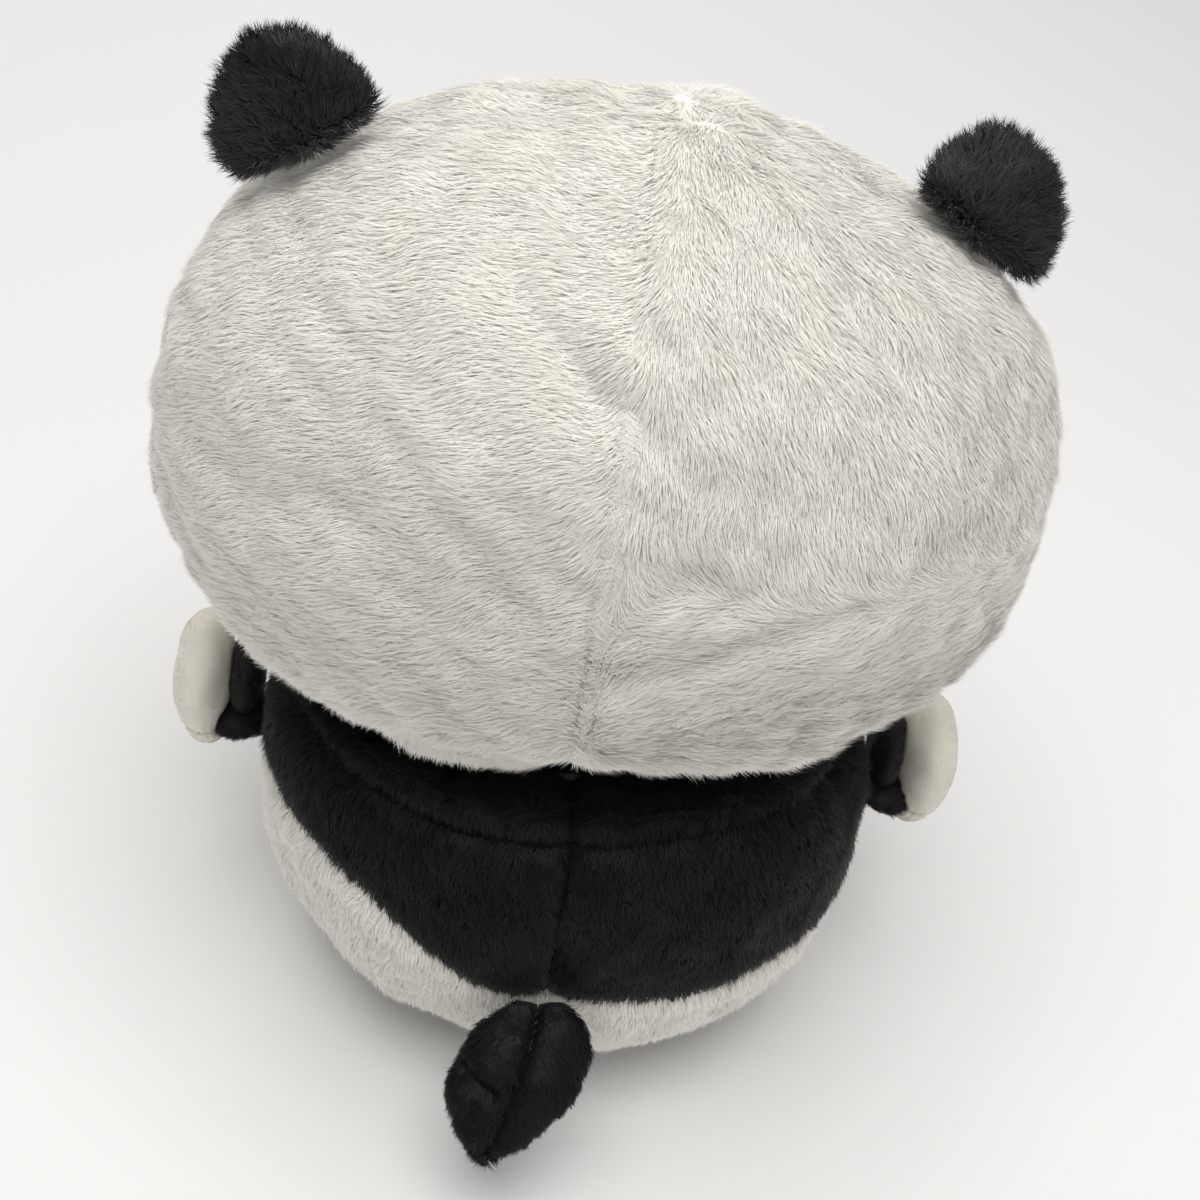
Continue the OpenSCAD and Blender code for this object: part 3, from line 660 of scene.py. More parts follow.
def eye_patch(side, name):
    lower, upper = laid((side * (EYE_AT[0] + 4.0), EYE_AT[1] - 5.0), PATCH, side * PATCH_LEAN,
                        lambda r: 0.3 + 0 * r, lambda r: 0.5 + 1.2 * np.sqrt(np.maximum(1.0 - r**4, 0.0)))
    laid_piece(name, DARK_VELBOA, lower, upper)
    n = facing(grid_normals(upper), FRONT)
    roots, rn = Skin(upper, n).roots(strands(9000), 141 + side)
    comb = way(roots[:, 0], 0.3 * side, 0.0, -1.0)
    pile(name + "_pile", "head", "dark_plush", DARK_PILE, roots, rn, comb, 2.4, width=0.28, clump_size=5.0,
         seed=341 + side, sink=0.4, at=from_head)


def muzzle_panel():
    def bump(r):
        return MUZZLE_H * np.sqrt(np.maximum(1.0 - r * r, 0.0))

    lower, upper = laid(MUZZLE_AT, MUZZLE, 0.0, lambda r: 0.4 + np.maximum(bump(r) - 2.0, 0.0),
                        lambda r: 1.2 + bump(r), 90, 90)
    philtrum = 1.3 * gauss(upper[..., 0], 2.2) * smooth(-upper[..., 2], 20.0, 26.0)
    upper = upper - FRONT * (philtrum + 0.3 * (1.0 + lumps_small(upper)))[..., None]
    laid_piece("muzzle_panel", CREAM, lower, upper)
    n = facing(grid_normals(upper), FRONT)
    roots, rn = Skin(upper, n).roots(strands(12000), 151)
    comb = way(roots[:, 0], roots[:, 0] * 0.05, 0.0, -0.7)
    pile("muzzle_panel_nap", "head", "cream_velboa", CREAM_NAP, roots, rn, comb, 1.5, width=0.24, clump=0.2,
         clump_size=5.0, seed=351, sink=0.5, at=from_head)


face_panel()
for side, word in SIDES:
    eye_patch(side, f"eye_patch_{word}")
muzzle_panel()


# ---- the ears ----

EAR, EAR_ROOT, EAR_ANGLE, EAR_BACK = np.array([21.5, 6.5, 26.0]), 4.5, 41.0, 12.0
EAR_LIFT, EAR_LEAN = 6.7, {1: 9.0, -1: 35.0}
ear_way = np.array([[math.sin(rad(EAR_ANGLE)), 0.0, math.cos(rad(EAR_ANGLE))]])
ear_point, ear_normal = (v[0] for v in egg(HEAD, HEAD[2], ROUND, ear_way))
EAR_SLOPE = math.degrees(math.atan2(ear_normal[0], ear_normal[2]))
ear_point = ear_point + np.array([0.0, EAR_BACK, 0.0])


def from_ear(q, point=True, side=1):
    q = turn_x(q, EAR_LEAN[side])
    q = turn_y(q + (EAR_LIFT * UP if point else 0.0), side * EAR_SLOPE)
    return from_head(q + ear_point * np.array([side, 1.0, 1.0]) if point else q, point)


def ear(side, face, name, body):
    """One panel of an ear; face is -1 for the front panel and 1 for the back one."""
    d = cap_dirs(*square(44, 44), 88.5)
    q, n = egg(EAR - 1.8, EAR_ROOT - 1.0, ROUND, np.stack([d[..., 0], face * d[..., 2], -face * d[..., 1]], -1))
    q, n = relief(q, n, lambda v: 0.5 * lumps_small(v + side * 40.0))
    at = partial(from_ear, side=side)
    o = shell(f"{name}_skin", q, n, 1.2, DARK_BACKING, at=at)
    place(o, body, [name])
    roots, rn = Skin(q, n).roots(strands(9000), 160 + side + 3 * face)
    x = roots[:, 0]
    comb = way(x, x * 0.045, -0.1 * face, 0.9)
    pile(f"{name}_pile", body, "dark_plush", EAR_PILE, roots, rn, comb, 6.2, lean=(30.0, 62.0), clump=1.0,
         clump_size=6.0, mess=0.34, seed=360 + side + 3 * face, stiff=1.5, flat=0.75, at=at)


for side, word in SIDES:
    ear(side, -1, f"ear_{word}_front", f"ear_{word}")
    ear(side, 1, f"ear_{word}_back", f"ear_{word}")


# ---- the torso ----

YOKE_MID, YOKE_LEFT, YOKE_RIGHT = 61.0, 87.0, 62.0


def girth(z, inset):
    up = z > TORSO_Z
    h = np.where(up, TORSO_UP, TORSO_DOWN) - inset
    n = np.where(up, UP_ROUND, DOWN_ROUND)
    return np.maximum(1.0 - (np.abs(z - TORSO_Z) / h) ** n, 1e-4) ** (1.0 / n)


def torso_at(turn, z, inset):
    k = girth(z, inset)
    t = rad(turn)
    return np.stack([(TORSO[0] - inset) * k * np.sin(t), TORSO_Y + (TORSO[1] - inset) * k * np.cos(t), z + 0.0 * k], -1)


def inside_head(p, grow):
    return (np.abs(to_head(p) / (HEAD + grow)) ** ROUND).sum(-1) < 1.0


def bisect(low, high, inside):
    """Where inside() turns true between two heights, for every element at once."""
    for _ in range(24):
        mid = (low + high) / 2.0
        hit = inside(mid)
        low, high = np.where(hit, low, mid), np.where(hit, mid, high)
    return (low + high) / 2.0


def torso_grid(turns, foot, inset, side_rows, dish_rows):
    """A torso panel up the side from foot, over the rim and in to the neck; and how far below the rim each point is."""
    grow = HEAD_GAP + inset
    rim = bisect(90.0 + 0 * turns, 150.0 + 0 * turns, lambda z: inside_head(torso_at(turns, z, inset), grow))
    f = np.linspace(0.0, 1.0, side_rows)[:, None]
    f = 1.0 - np.cos(f * math.pi / 2) if side_rows > 60 else f
    z = foot + (rim - 0.6 - foot) * f
    sides = torso_at(turns + 0 * z, z, inset)
    t = rad(turns)
    top = sides[-1]
    g = np.linspace(0.03, 1.0, dish_rows)[:, None]
    x = top[:, 0] * (1 - g) + NECK_HOLE * np.sin(t) * g
    y = top[:, 1] * (1 - g) + (ORIGIN_Y + NECK_HOLE * np.cos(t)) * g
    chin = bisect(40.0 + 0 * x, 190.0 + 0 * x, lambda h: inside_head(np.stack([x, y, h], -1), grow))
    p = np.concatenate([sides, np.stack([x, y, chin], -1)])
    below = np.concatenate([rim - z, -40.0 * g + 0 * x])
    a, b = side_rows - 7, side_rows + 2
    for _ in range(10):    # rounds the rim's edge
        p[a:b] += 0.5 * ((p[a - 1:b - 1] + p[a + 1:b + 1]) / 2 - p[a:b])
    return p, below


def yoke_edge(turn):
    side = np.where(turn > 0, YOKE_LEFT, YOKE_RIGHT)
    return YOKE_MID + (side - YOKE_MID) * (1.0 - np.cos(math.pi * np.minimum(np.abs(turn) / 50.0, 1.0))) / 2.0


def torso_height(p, turn, below):
    """Relief of the torso's plush: lumps, the seams' valleys and the fold pushed up under the head."""
    h = 1.3 * lumps_big(p + 300.0) + 0.8 * lumps_mid(p + 300.0) + 0.35 * lumps_small(p + 300.0)
    z = p[..., 2]
    full = 1.2 + (2.6 + 0.9 * np.sign(turn)) * gauss(np.abs(turn) - 84.0, 34.0) * gauss(z - 82.0, 46.0)
    full = full + 3.6 * gauss(turn + 35.0, 34.0) * gauss(z - 28.0, 26.0)
    full = full + (2.6 + 1.4 * np.sign(turn)) * gauss(np.abs(turn) - 90.0, 24.0) * gauss(z - 104.0, 13.0)
    h = h + full * (1.0 - gauss(np.abs(turn) - 91.0, 9.0) * gauss(z - 82.0, 8.0))
    back = smooth(p[..., 1], 0.0, 30.0)
    h = h - back * (2.4 * gauss(p[..., 0], 2.6) + 1.0 * gauss(p[..., 0], 8.0))
    h = h - 1.5 * gauss(p[..., 2] - yoke_edge(turn), 3.5) * smooth(SIDE_SEAM + 2.0 - np.abs(turn), 0.0, 3.0)
    h = h - 1.2 * gauss(np.abs(turn) - SIDE_SEAM, 3.0)
    fold = below - 6.5 - 2.0 * np.sin(rad(turn * 3.1 + 20.0))
    h = h + (1.9 * gauss(fold + 5.5, 4.0) - 3.0 * gauss(fold, 3.0)) * smooth(below, 0.0, 4.0)
    return h


def yoke(side, name):
    turns = np.linspace(0.13, SIDE_SEAM - 0.13, 70) * side
    p, below = torso_grid(turns, yoke_edge(turns) + 0.2, INSET, 46, 12)
    p, n, n0 = raised(p, torso_height(p, turns + 0 * below, below))
    o = shell(f"{name}_skin", p, n0, 1.6, DARK_BACKING)
    place(o, "torso", [name])
    roots, rn = Skin(p[:50], n[:50]).roots(strands(42000), 170 + side)
    x, z = roots[:, 0], roots[:, 2]
    near = gauss(x, 6.0)
    comb = way(x, -0.12 * np.sign(x) + 0.18 * np.sin(z / 19.0), 0.0, -1.0)
    pile(f"{name}_pile", "torso", "dark_plush", DARK_PILE, roots, rn, comb, 6.4 - 2.0 * near, lean=(38.0, 72.0),
         clump=0.8, clump_size=7.0, mess=0.26, seed=370 + side, glint_share=0.0012)


def rump(side, name):
    turns = np.linspace(0.13, SIDE_SEAM - 0.13, 70) * side
    f = np.linspace(0.0, 1.0, 34)[:, None]
    z = SKIN_FOOT + (yoke_edge(turns) - 0.2 - SKIN_FOOT) * f
    p = torso_at(turns + 0 * z, z, INSET)
    p, n, n0 = raised(p, torso_height(p, turns + 0 * z, 60.0 + 0 * z))
    p[..., 2] = np.maximum(p[..., 2], 1.8)
    o = shell(f"{name}_skin", p, n0, 1.6, WHITE_BACKING)
    place(o, "torso", [name])
    roots, rn = Skin(p, n).roots(strands(36000), 180 + side)
    x = roots[:, 0]
    pile(f"{name}_pile", "torso", "white_plush", WHITE_PILE, roots, rn, way(x, 0.05 * x / 40.0, 0.0, -1.0), 6.6,
         width=0.27, clump=0.5, clump_size=7.0, flat=0.99, roll=0.4, seed=380 + side)


def belly_panel():
    turns = np.linspace(SIDE_SEAM + 0.13, 360.0 - SIDE_SEAM - 0.13, 110)
    p, below = torso_grid(turns, SKIN_FOOT + 0 * turns, 0.6, 62, 12)
    wrapped = turns - 360.0 * (turns > 180.0)
    h = torso_height(p, wrapped + 0 * below, below) * 0.6 - 0.8
    p, n, n0 = raised(p, h)
    p[..., 2] = np.maximum(p[..., 2], 1.2)
    o = shell("belly_panel_skin", p, n0, 1.3, CREAM)
    place(o, "torso", ["belly_panel"])
    roots, rn = Skin(p[:66], n[:66]).roots(strands(36000), 190)
    pile("belly_panel_nap", "torso", "cream_velboa", CREAM_NAP, roots, rn, way(roots[:, 0], 0.0, 0.0, -1.0), 2.1,
         width=0.26, clump=0.2, clump_size=6.0, seed=390, sink=0.5)


def disc_grid(radius, rows, cols, dome):
    r = np.linspace(0.02, 1.0, rows)[:, None]
    t = circle(cols)
    return np.stack([radius * r * np.cos(t), radius * r * np.sin(t), dome(r) + 0 * t], -1)


def base_panel():
    top = disc_grid(43.0, 22, 72, lambda r: 2.4 - 0.5 * r**6)
    rim = top[-1:] * np.array([1.0, 1.0, 0.0]) + 1.2 * UP
    bottom = disc_grid(42.0, 22, 72, lambda r: 0.15 + 0.5 * gauss(r - 0.93, 0.03))[::-1]
    p = np.concatenate([top, rim * np.array([1.012, 1.012, 1.0]), bottom])
    o = closed_form("base_panel_cloth", p + np.array([0.0, TORSO_Y, 0.0]), CREAM)
    place(o, "torso", ["base_panel"])


for side, word in SIDES:
    yoke(side, f"yoke_{word}")
    rump(side, f"rump_{word}")
belly_panel()
base_panel()


# ---- the arms ----

ARM_PIVOT = torso_at(90.0, np.array(82.0), 0.0) + np.array([5.1, 0.0, 0.0])
ARM_PIVOT[1] = TORSO_Y - 3.0
MITT, MITT_SEAM = np.array([9.5, 20.0, 22.0]), 118.0
MITT_AT = ARM_PIVOT + np.array([18.5, -10.0, 7.0])
SLEEVE = [(-4.4, 9, 1.2), (-3.2, 10, 3.1), (0, 10.5, 4.5), (4, 10.5, 4.8), (8, 10.5, 5), (11.0, 9.5, 4.6)]
SLEEVE_LEAN = (-0.1, -0.15)
FOREARM, FOREARM_AT = np.array([6.0, 15.0, 14.5]), np.array([4.4, -10.0, 9.5])


def mirrored(p, side):
    return p * np.array([side, 1.0, 1.0])


def from_arm(q, point=True, side=1, start=ARM_PIVOT):
    return mirrored(q + start if point else q, side)


def egg_grid(size, rows, cols, n=ROUND):
    lat, lon = np.meshgrid(np.radians(np.linspace(-86, 86, rows)), circle(cols)[0], indexing="ij")
    return egg(size, size[2], n, np.stack([np.cos(lat) * np.cos(lon), np.cos(lat) * np.sin(lon), np.sin(lat)], -1))


def sleeve(side, name, body):
    s, half, thick = (np.array(v, float) for v in zip(*SLEEVE))
    u = np.linspace(-4.4, 11.0, 30)[:, None]
    w = circle(48)
    wide, deep = curve(u, s, half) - 1.2, np.maximum(curve(u, s, thick) - 1.4, 0.6)
    out = np.maximum(u, 0.0)
    p = np.stack([u + 0 * w, SLEEVE_LEAN[0] * out + wide * np.cos(w), SLEEVE_LEAN[1] * out + deep * np.sin(w)], -1)
    p, n, _ = raised(p, 0.5 * lumps_small(p), True)
    strip = closed_form(f"{name}_strip", from_arm(p, side=side), DARK_BACKING)
    place(strip, body, [name])
    roots, rn = Skin(p, n, True).roots(strands(9000), 200 + side)
    pile(f"{name}_pile", body, "dark_plush", DARK_PILE, roots, rn, way(roots[:, 0], 1.0, -0.4, -0.1), 3.8, clump=0.9,
         clump_size=5.0, mess=0.3, seed=400 + side, stiff=1.4, glint_share=0.001, at=partial(from_arm, side=side))
    q, qn = egg_grid(FOREARM, 40, 56)
    q, qn = relief(q, qn, lambda v: 0.35 * lumps_small(v * 1.3 + 50.0) - 0.5)
    at = partial(from_arm, side=side, start=ARM_PIVOT + FOREARM_AT)
    fore = closed_form(f"{name}_forearm", at(q), DARK_VELBOA)
    place(fore, body)
    froots, fn = Skin(q, qn, True).roots(strands(6000), 205 + side)
    pile(f"{name}_nap", body, "dark_plush", DARK_PILE, froots, fn, way(froots[:, 0], 0.0, -0.3, -1.0), 1.8,
         width=0.26, clump=0.3, clump_size=5.0, seed=405 + side, sink=0.4, at=at)


def mitt_shape(q):
    """Draws the lower, inner end of a mitt in towards the sleeve that carries it."""
    low = smooth(-q[..., 2], 2.0, 22.0)
    return q + np.stack([-3.6 * low, 3.0 * low, 0 * low], -1)


def mitt(side, word, body):
    for part, spread, flip in (("upper", MITT_SEAM - 0.6, 1.0), ("under", 180.0 - MITT_SEAM - 0.6, -1.0)):
        name = f"mitt_{word}_{part}"
        d = cap_dirs(*square(52, 52), spread)
        d = np.stack([d[..., 0], flip * d[..., 1], flip * d[..., 2]], -1)
        q, n = egg(MITT, MITT[2], ROUND, d)
        edge = spread - np.degrees(np.arccos(np.clip(flip * d[..., 2], -1, 1)))
        pucker = 0.12 * np.sin(np.arctan2(d[..., 1], d[..., 0]) * 23.0) * gauss(edge, 9.0)
        h = 0.35 * lumps_small(q + 70.0 * side) - 1.0 * gauss(edge, 3.0) + pucker + 0.2
        q = q + n * h[..., None]
        q = mitt_shape(q)
        n1 = facing(grid_normals(q), n)
        at = partial(from_arm, side=side, start=MITT_AT)
        o = shell(f"{name}_skin", q, n, 1.2, CREAM, at=at)
        place(o, body, [name])
        roots, rn = Skin(q, n1).roots(strands(9000 if part == "upper" else 3500), 210 + side + 5 * (flip > 0))
        pile(f"{name}_nap", body, "cream_velboa", CREAM_NAP, roots, rn, way(roots[:, 0], 0.0, -0.5, 0.5), 1.3,
             width=0.22, clump=0.15, clump_size=5.0, seed=410 + side + 5 * (flip > 0), sink=0.4, at=at)


for side, word in SIDES:
    sleeve(side, f"sleeve_{word}", f"arm_{word}")
    mitt(side, word, f"arm_{word}")


# ---- the legs ----

LEG_R, FOOT_R, LEG_LEN, FOOT_EDGE, SPLAY = 26.0, 27.5, 28.0, 6.0, 22.0
LEG_Z = LEG_R + 2.5
HIP_TURN = 148.0         # degrees from straight behind
HIP_OUT = np.array([math.sin(rad(HIP_TURN - 4)), math.cos(rad(HIP_TURN - 4)), 0.0])
HIP_GAP, HIP_TUBE = 31.0, 15.0
LEG_PIVOT = torso_at(HIP_TURN, np.array(LEG_Z), 0.0) + HIP_GAP * HIP_OUT


def from_leg(q, point=True, side=1):
    q = turn_z(turn_x(q, 90.0), SPLAY * side)
    return q + mirrored(LEG_PIVOT, side) if point else q


def leg(side, word):
    name = body = f"leg_{word}"
    inset = 1.8
    hip = np.radians(np.linspace(-86.0, 0.0, 26))
    foot = np.radians(np.linspace(0.0, 78.0, 12))
    tube = np.linspace(0.06, 0.94, 12)
    r = np.concatenate([(LEG_R - inset) * np.cos(hip), LEG_R + (FOOT_R - LEG_R) * tube - inset,
                        FOOT_R - FOOT_EDGE + (FOOT_EDGE - inset) * np.cos(foot)])[:, None]
    h = np.concatenate([(LEG_R - inset) * np.sin(hip), (LEG_LEN - FOOT_EDGE) * tube,
                        LEG_LEN - FOOT_EDGE + (FOOT_EDGE - inset) * np.sin(foot)])[:, None]
    t = circle(72)
    p = np.stack([r * np.cos(t), r * np.sin(t), h + 0 * t], -1)
    p, n, n0 = raised(p, 0.7 * lumps_mid(p + 90.0 * side) + 0.3 * lumps_small(p + 90.0 * side), True)
    at = partial(from_leg, side=side)
    o = shell(f"{name}_skin", p, n0, 1.2, DARK_BACKING, True, at)
    place(o, body, [name])
    roots, rn = Skin(p, n, True).roots(strands(24000), 220 + side)
    z = roots[:, 2]
    comb = way(z, 0.0, -0.35, 1.0 - 1.3 * smooth(z, 20.0, 27.0))
    pile(f"{name}_pile", body, "dark_plush", DARK_PILE, roots, rn, comb, 4.4, clump=0.8, clump_size=6.0, mess=0.28,
         seed=420 + side, glint_share=0.001, at=at)
    outer = disc_grid(FOOT_R - FOOT_EDGE * 0.6, 30, 72,
                      lambda v: LEG_LEN + 1.4 - 0.7 * v**2 - 1.6 * smooth(v, 0.86, 1.0))
    outer = outer + UP * (0.3 * lumps_small(outer))[..., None]
    inner = outer[::-1] - 1.3 * UP
    pad = closed_form(f"sole_{word}_cloth", at(np.concatenate([outer, inner])), CREAM)
    place(pad, body, [f"sole_{word}"])
    n = facing(grid_normals(outer, True), UP)
    sroots, sn = Skin(outer, n, True).roots(strands(7000), 225 + side)
    pile(f"sole_{word}_nap", body, "cream_velboa", CREAM_NAP, sroots, sn, way(sroots[:, 0], 0.0, -1.0, 0.0), 1.3,
         width=0.22, clump=0.15, clump_size=5.0, seed=425 + side, sink=0.4, at=at)


def hip_cloth(side, word):
    """The gathered tube of dark cloth that joins a leg's round end to the torso; it ends inside both."""
    t = circle(96)
    f = np.linspace(0.0, 1.0, 20)[:, None]
    r = HIP_TUBE - 2.4 * gauss(f - 0.26, 0.12) + 0.45 * np.sin(t * 22.0)
    out = np.array([HIP_OUT[1], -HIP_OUT[0], 0.0])
    centre = LEG_PIVOT - HIP_OUT * (LEG_R - 7.0 + 40.0 * f + 0 * t)[..., None]
    p = mirrored(centre + out * (r * np.cos(t))[..., None] + UP * (r * np.sin(t))[..., None], side)
    n = facing(grid_normals(p, True), p - mirrored(centre, side))
    o = shell(f"hip_{word}_cloth", p, n, 0.8, DARK_VELBOA, True)
    place(o, "torso")


for side, word in SIDES:
    leg(side, word)
    hip_cloth(side, word)


# ---- the tail ----

TAIL_LEN, TAIL_DROOP, TAIL_BEND, TAIL_Z = 50.0, 47.0, 12.0, 66.0
TAIL_PIVOT = torso_at(0.0, np.array(TAIL_Z), 0.0) + np.array([2.5, 3.6, 0.0])
# Share of the tail's length, half-width and half-thickness there.
TAIL = [(0, 9, 2.6), (0.07, 12.5, 4.4), (0.18, 16.5, 6.8), (0.34, 20, 9), (0.5, 20.5, 9.6), (0.66, 17.5, 8.8),
        (0.82, 11, 6.8), (0.93, 5.5, 4.2), (1, 1.6, 1.6)]
TAIL_SHARE, TAIL_HALF, TAIL_THICK = (np.array(v, float) for v in zip(*TAIL))


def from_tail(q, point=True):
    q = turn_x(q, -90.0 - TAIL_DROOP)
    return q + TAIL_PIVOT if point else q


def tail_bend(s):
    return TAIL_BEND * s**1.6


def tail_surface(side, s, w, inset):
    hw = np.maximum(curve(s, TAIL_SHARE, TAIL_HALF) - inset, 0.6)
    ht = np.maximum(curve(s, TAIL_SHARE, TAIL_THICK) - inset, 0.6)
    return np.stack([tail_bend(s) + side * (0.2 + hw * np.cos(w)), -ht * np.sin(w), s * TAIL_LEN + 0 * w], -1)


def tail_height(q):
    h = 0.7 * lumps_mid(q * 1.6 + 40.0) + 0.4 * lumps_small(q + 40.0)
    mid = q[..., 0] - tail_bend(np.clip(q[..., 2] / TAIL_LEN, 0.0, 1.0))
    h = h - 1.9 * gauss(mid, 1.6) - 0.6 * gauss(mid, 5.0)
    h = h - 3.2 * dent(q, (24.0, -3.0, 19.0), (11.0, -7.5, 27.0), 3.0)
    h = h - 1.8 * dent(q, (16.0, -7.0, 34.0), (26.0, -2.0, 40.0), 3.0)
    h = h - 1.2 * dent(q, (-10.0, -8.0, 14.0), (-17.0, -3.0, 20.0), 3.5)
    return h


def tail(side, name):
    s = np.linspace(0.0, 1.0, 64)[:, None]
    w = np.linspace(-math.pi / 2, math.pi / 2, 46)[None]
    p = tail_surface(side, s, w, 1.5)
    n = facing(grid_normals(p), p - np.array([TAIL_BEND * 0.4, 0.0, TAIL_LEN / 2]))
    q = p + n * tail_height(p)[..., None]
    n1 = facing(grid_normals(q), n)
    o = shell(f"{name}_skin", q, n, 1.0, DARK_BACKING, at=from_tail)
    place(o, "tail", [name])
    roots, rn = Skin(q, n1).roots(strands(11000), 230 + side, lambda v: 1.0 - 0.8 * gauss(
        v[:, 0] - tail_bend(np.clip(v[:, 2] / TAIL_LEN, 0, 1)), 0.7))
    pile(f"{name}_pile", "tail", "dark_plush", DARK_PILE, roots, rn, way(roots[:, 0], 0.35 * side, 0.0, 1.0), 4.0,
         lean=(44.0, 76.0), clump=0.7, clump_size=5.0, mess=0.24, width=0.32, seed=430 + side, glint_share=0.0012,
         at=from_tail)


def stitch(points, radius, sides=7):
    """One stitch: a short bowed thread through points, as a closed grid."""
    p = np.array(points, float)
    t = unit(np.gradient(p, axis=0))
    ref = np.array([0.31, 0.22, 0.93])
    u = unit(np.cross(t, ref))
    v = np.cross(t, u)
    a = circle(sides)[..., None]
    taper = np.sin(np.linspace(0.25, math.pi - 0.25, len(p)))[:, None, None] ** 0.4
    return p[:, None] + radius * taper * (u[:, None] * np.cos(a) + v[:, None] * np.sin(a))


def tail_stitches():
    """The tail's closing seam: a slanted stitch every few millimetres down the valley between its two panels."""
    verts, corners, totals, base = [], [], [], 0
    for s in np.arange(0.08, 0.90, 2.6 / TAIL_LEN):
        y = -(curve(np.array([s]), TAIL_SHARE, TAIL_THICK)[0] - 1.5) + 1.9 + 0.6
        x, z = tail_bend(s), s * TAIL_LEN
        k = np.linspace(-1.0, 1.0, 6)
        pts = np.stack([x + 0.75 * k, y - 0.75 * (1.0 - k * k), z + 0.85 * k], -1)
        g = from_tail(stitch(pts, 0.28))
        idx, _, right = (x + base for x in grid_index(g, True))
        q = np.stack([idx[:-1], right[:-1], right[1:], idx[1:]], -1).reshape(-1, 4)
        verts.append(g.reshape(-1, 3))
        corners += [q.ravel(), idx[0][::-1], idx[-1]]
        totals += [np.full(len(q), 4), [idx.shape[1]] * 2]
        base += idx.size
    o = mesh_object("tail_stitches", np.concatenate(verts), np.concatenate(corners), np.concatenate(totals), [THREAD])
    place(o, "tail")


for side, word in SIDES:
    tail(side, f"tail_{word}")
tail_stitches()


# ---- the filling, which stays out of sight ----

def neck_cloth():
    """The gathered tube of dark cloth between the torso and the head."""
    t = circle(144)
    f = np.linspace(0.0, 1.0, 26)[:, None]
    gather = 0.7 * np.sin(t * 26.0) * (0.4 + 0.6 * np.abs(2.0 * f - 1.0))
    r = 32.2 + 1.6 * np.abs(2.0 * f - 1.0) ** 2 + gather
    p = np.stack([r * np.cos(t), ORIGIN_Y + r * np.sin(t), 92.0 + 62.0 * f + 0 * t], -1)
    n = grid_normals(p, True)
    o = shell("neck_cloth", p, n, 0.8, DARK_VELBOA, True)
    place(o, "neck")


neck_cloth()
coarse = 1.0
fibre("torso_stuffing", "torso", 4.5 * coarse, 3.2, 1.2, FIBRE)
fibre("pellet_bag", "torso", 3.5 * coarse, 2.6, 0.9, PELLETS, 7.0)
fibre("neck_stuffing", "neck", 3.0 * coarse, 1.2, 0.8, FIBRE)
fibre("head_stuffing", "head", 5.0 * coarse, 5.2, 1.4, FIBRE, 20.0)
fibre("muzzle_stuffing", "head", 1.6 * coarse, 0.7, 0.4, FIBRE, 6.0)
for _, word in SIDES:
    fibre(f"ear_{word}_stuffing", f"ear_{word}", 1.4 * coarse, 0.9, 0.3, FIBRE, 6.0)
    fibre(f"mitt_{word}_stuffing", f"arm_{word}", 1.8 * coarse, 1.2, 0.5, FIBRE, 7.0)
    fibre(f"leg_{word}_stuffing", f"leg_{word}", 2.5 * coarse, 1.4, 0.8, FIBRE, 9.0)
fibre("tail_stuffing", "tail", 1.6 * coarse, 1.6, 0.5, FIBRE, 7.0)

# The hard parts keep their exact CAD shapes and take a material here.
FINISH = {"nose": BLACK, "eye_left": BLACK, "eye_right": BLACK, "eye_washers": WASHER, "nose_washer": WASHER,
          "mouth_stitching": THREAD}
for name, material in FINISH.items():
    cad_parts[name].data.materials.clear()
    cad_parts[name].data.materials.append(material)


# ---- stage, light and camera ----

def stage():
    me = bpy.data.meshes.new("floor")
    s = 6.0
    me.from_pydata([(-s, -s, 0), (s, -s, 0), (s, s, 0), (-s, s, 0)], [], [(0, 1, 2, 3)])
    o = add("floor", me)
    o.location.z = -0.0004
    m, _, _ = shader("floor", (0.86, 0.86, 0.86), 0.9)
    me.materials.append(m)


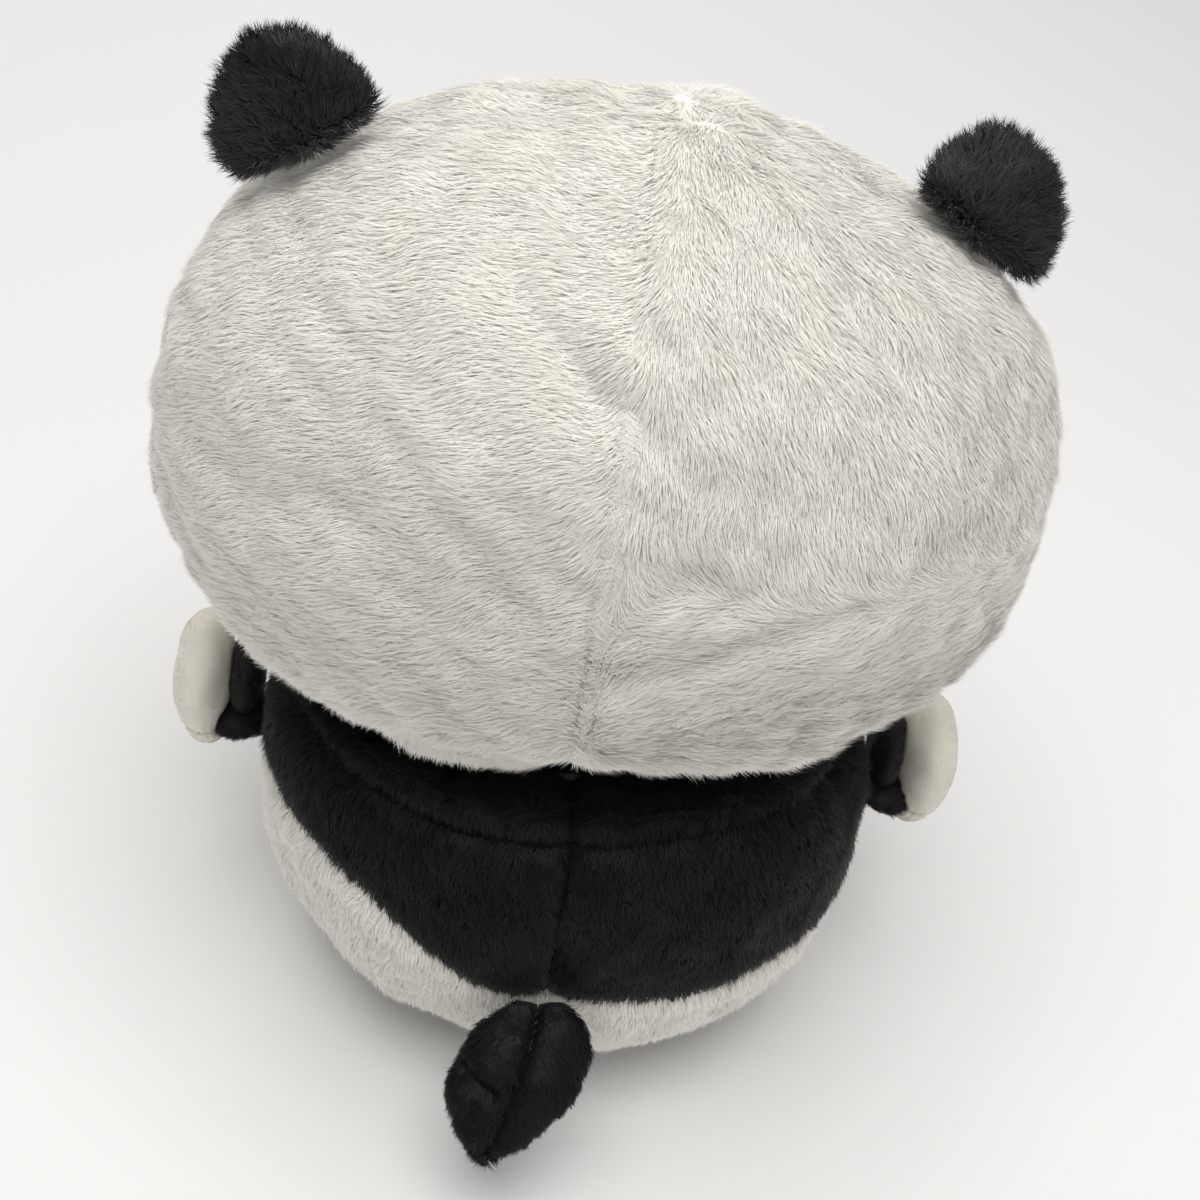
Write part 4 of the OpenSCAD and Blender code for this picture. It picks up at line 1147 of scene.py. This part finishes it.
def light(name, at, aim, size, power, color=(1.0, 1.0, 1.0)):
    d = bpy.data.lights.new(name, "AREA")
    d.shape, d.size, d.energy, d.color = "DISK", size, power, color
    o = add(name, d)
    o.location = at
    o.rotation_mode = "QUATERNION"
    o.rotation_quaternion = (Vector(aim) - Vector(at)).to_track_quat("-Z", "Y")


def camera():
    """Behind and above the plush, with its head in the picture's upper middle and the picture rolled a little."""
    azimuth, elevation, distance, roll = 176.0, 35.0, 0.555, 9.4
    lens, sensor = 56.9, 36.0
    across, up = 5 / 1200, 0.14      # of the picture's width, from the head's middle to the picture's
    a, e = rad(azimuth), rad(elevation)
    back = Vector((math.sin(a) * math.cos(e), -math.cos(a) * math.cos(e), math.sin(e)))
    right0 = Vector((0, 0, 1)).cross(back).normalized()
    up0 = back.cross(right0)
    c, s = math.cos(rad(roll)), math.sin(rad(roll))
    right1, up1 = right0 * c + up0 * s, up0 * c - right0 * s
    b = (back + right1 * (across * sensor / lens) + up1 * (up * sensor / lens)).normalized()
    right = (right1 - b * right1.dot(b)).normalized()
    cam = add("camera", bpy.data.cameras.new("camera"))
    cam.data.lens, cam.data.sensor_width = lens, sensor
    cam.data.clip_start = 0.01
    cam.matrix_world = Matrix((right, b.cross(right), b)).transposed().to_4x4()
    cam.location = Vector(HEAD_AT) * MM + back * distance
    bpy.context.scene.camera = cam


stage()
light("key", (0.05, 0.3, 1.5), (0.0, 0.0, 0.15), 1.3, 16.5, (1.0, 0.985, 0.96))
light("fill", (-0.9, 1.1, 0.8), (0.0, 0.0, 0.10), 1.0, 1.6, (1.0, 0.99, 0.97))
light("front", (0.4, -1.6, 0.9), (0.0, 0.0, 0.15), 1.4, 6.0)
world = bpy.data.worlds.new("studio")
world.use_nodes = True
world.node_tree.nodes["Background"].inputs[0].default_value = (1.0, 0.99, 0.975, 1.0)
world.node_tree.nodes["Background"].inputs[1].default_value = 0.42
bpy.context.scene.world = world
bpy.context.scene.view_settings.view_transform = "Standard"
camera()
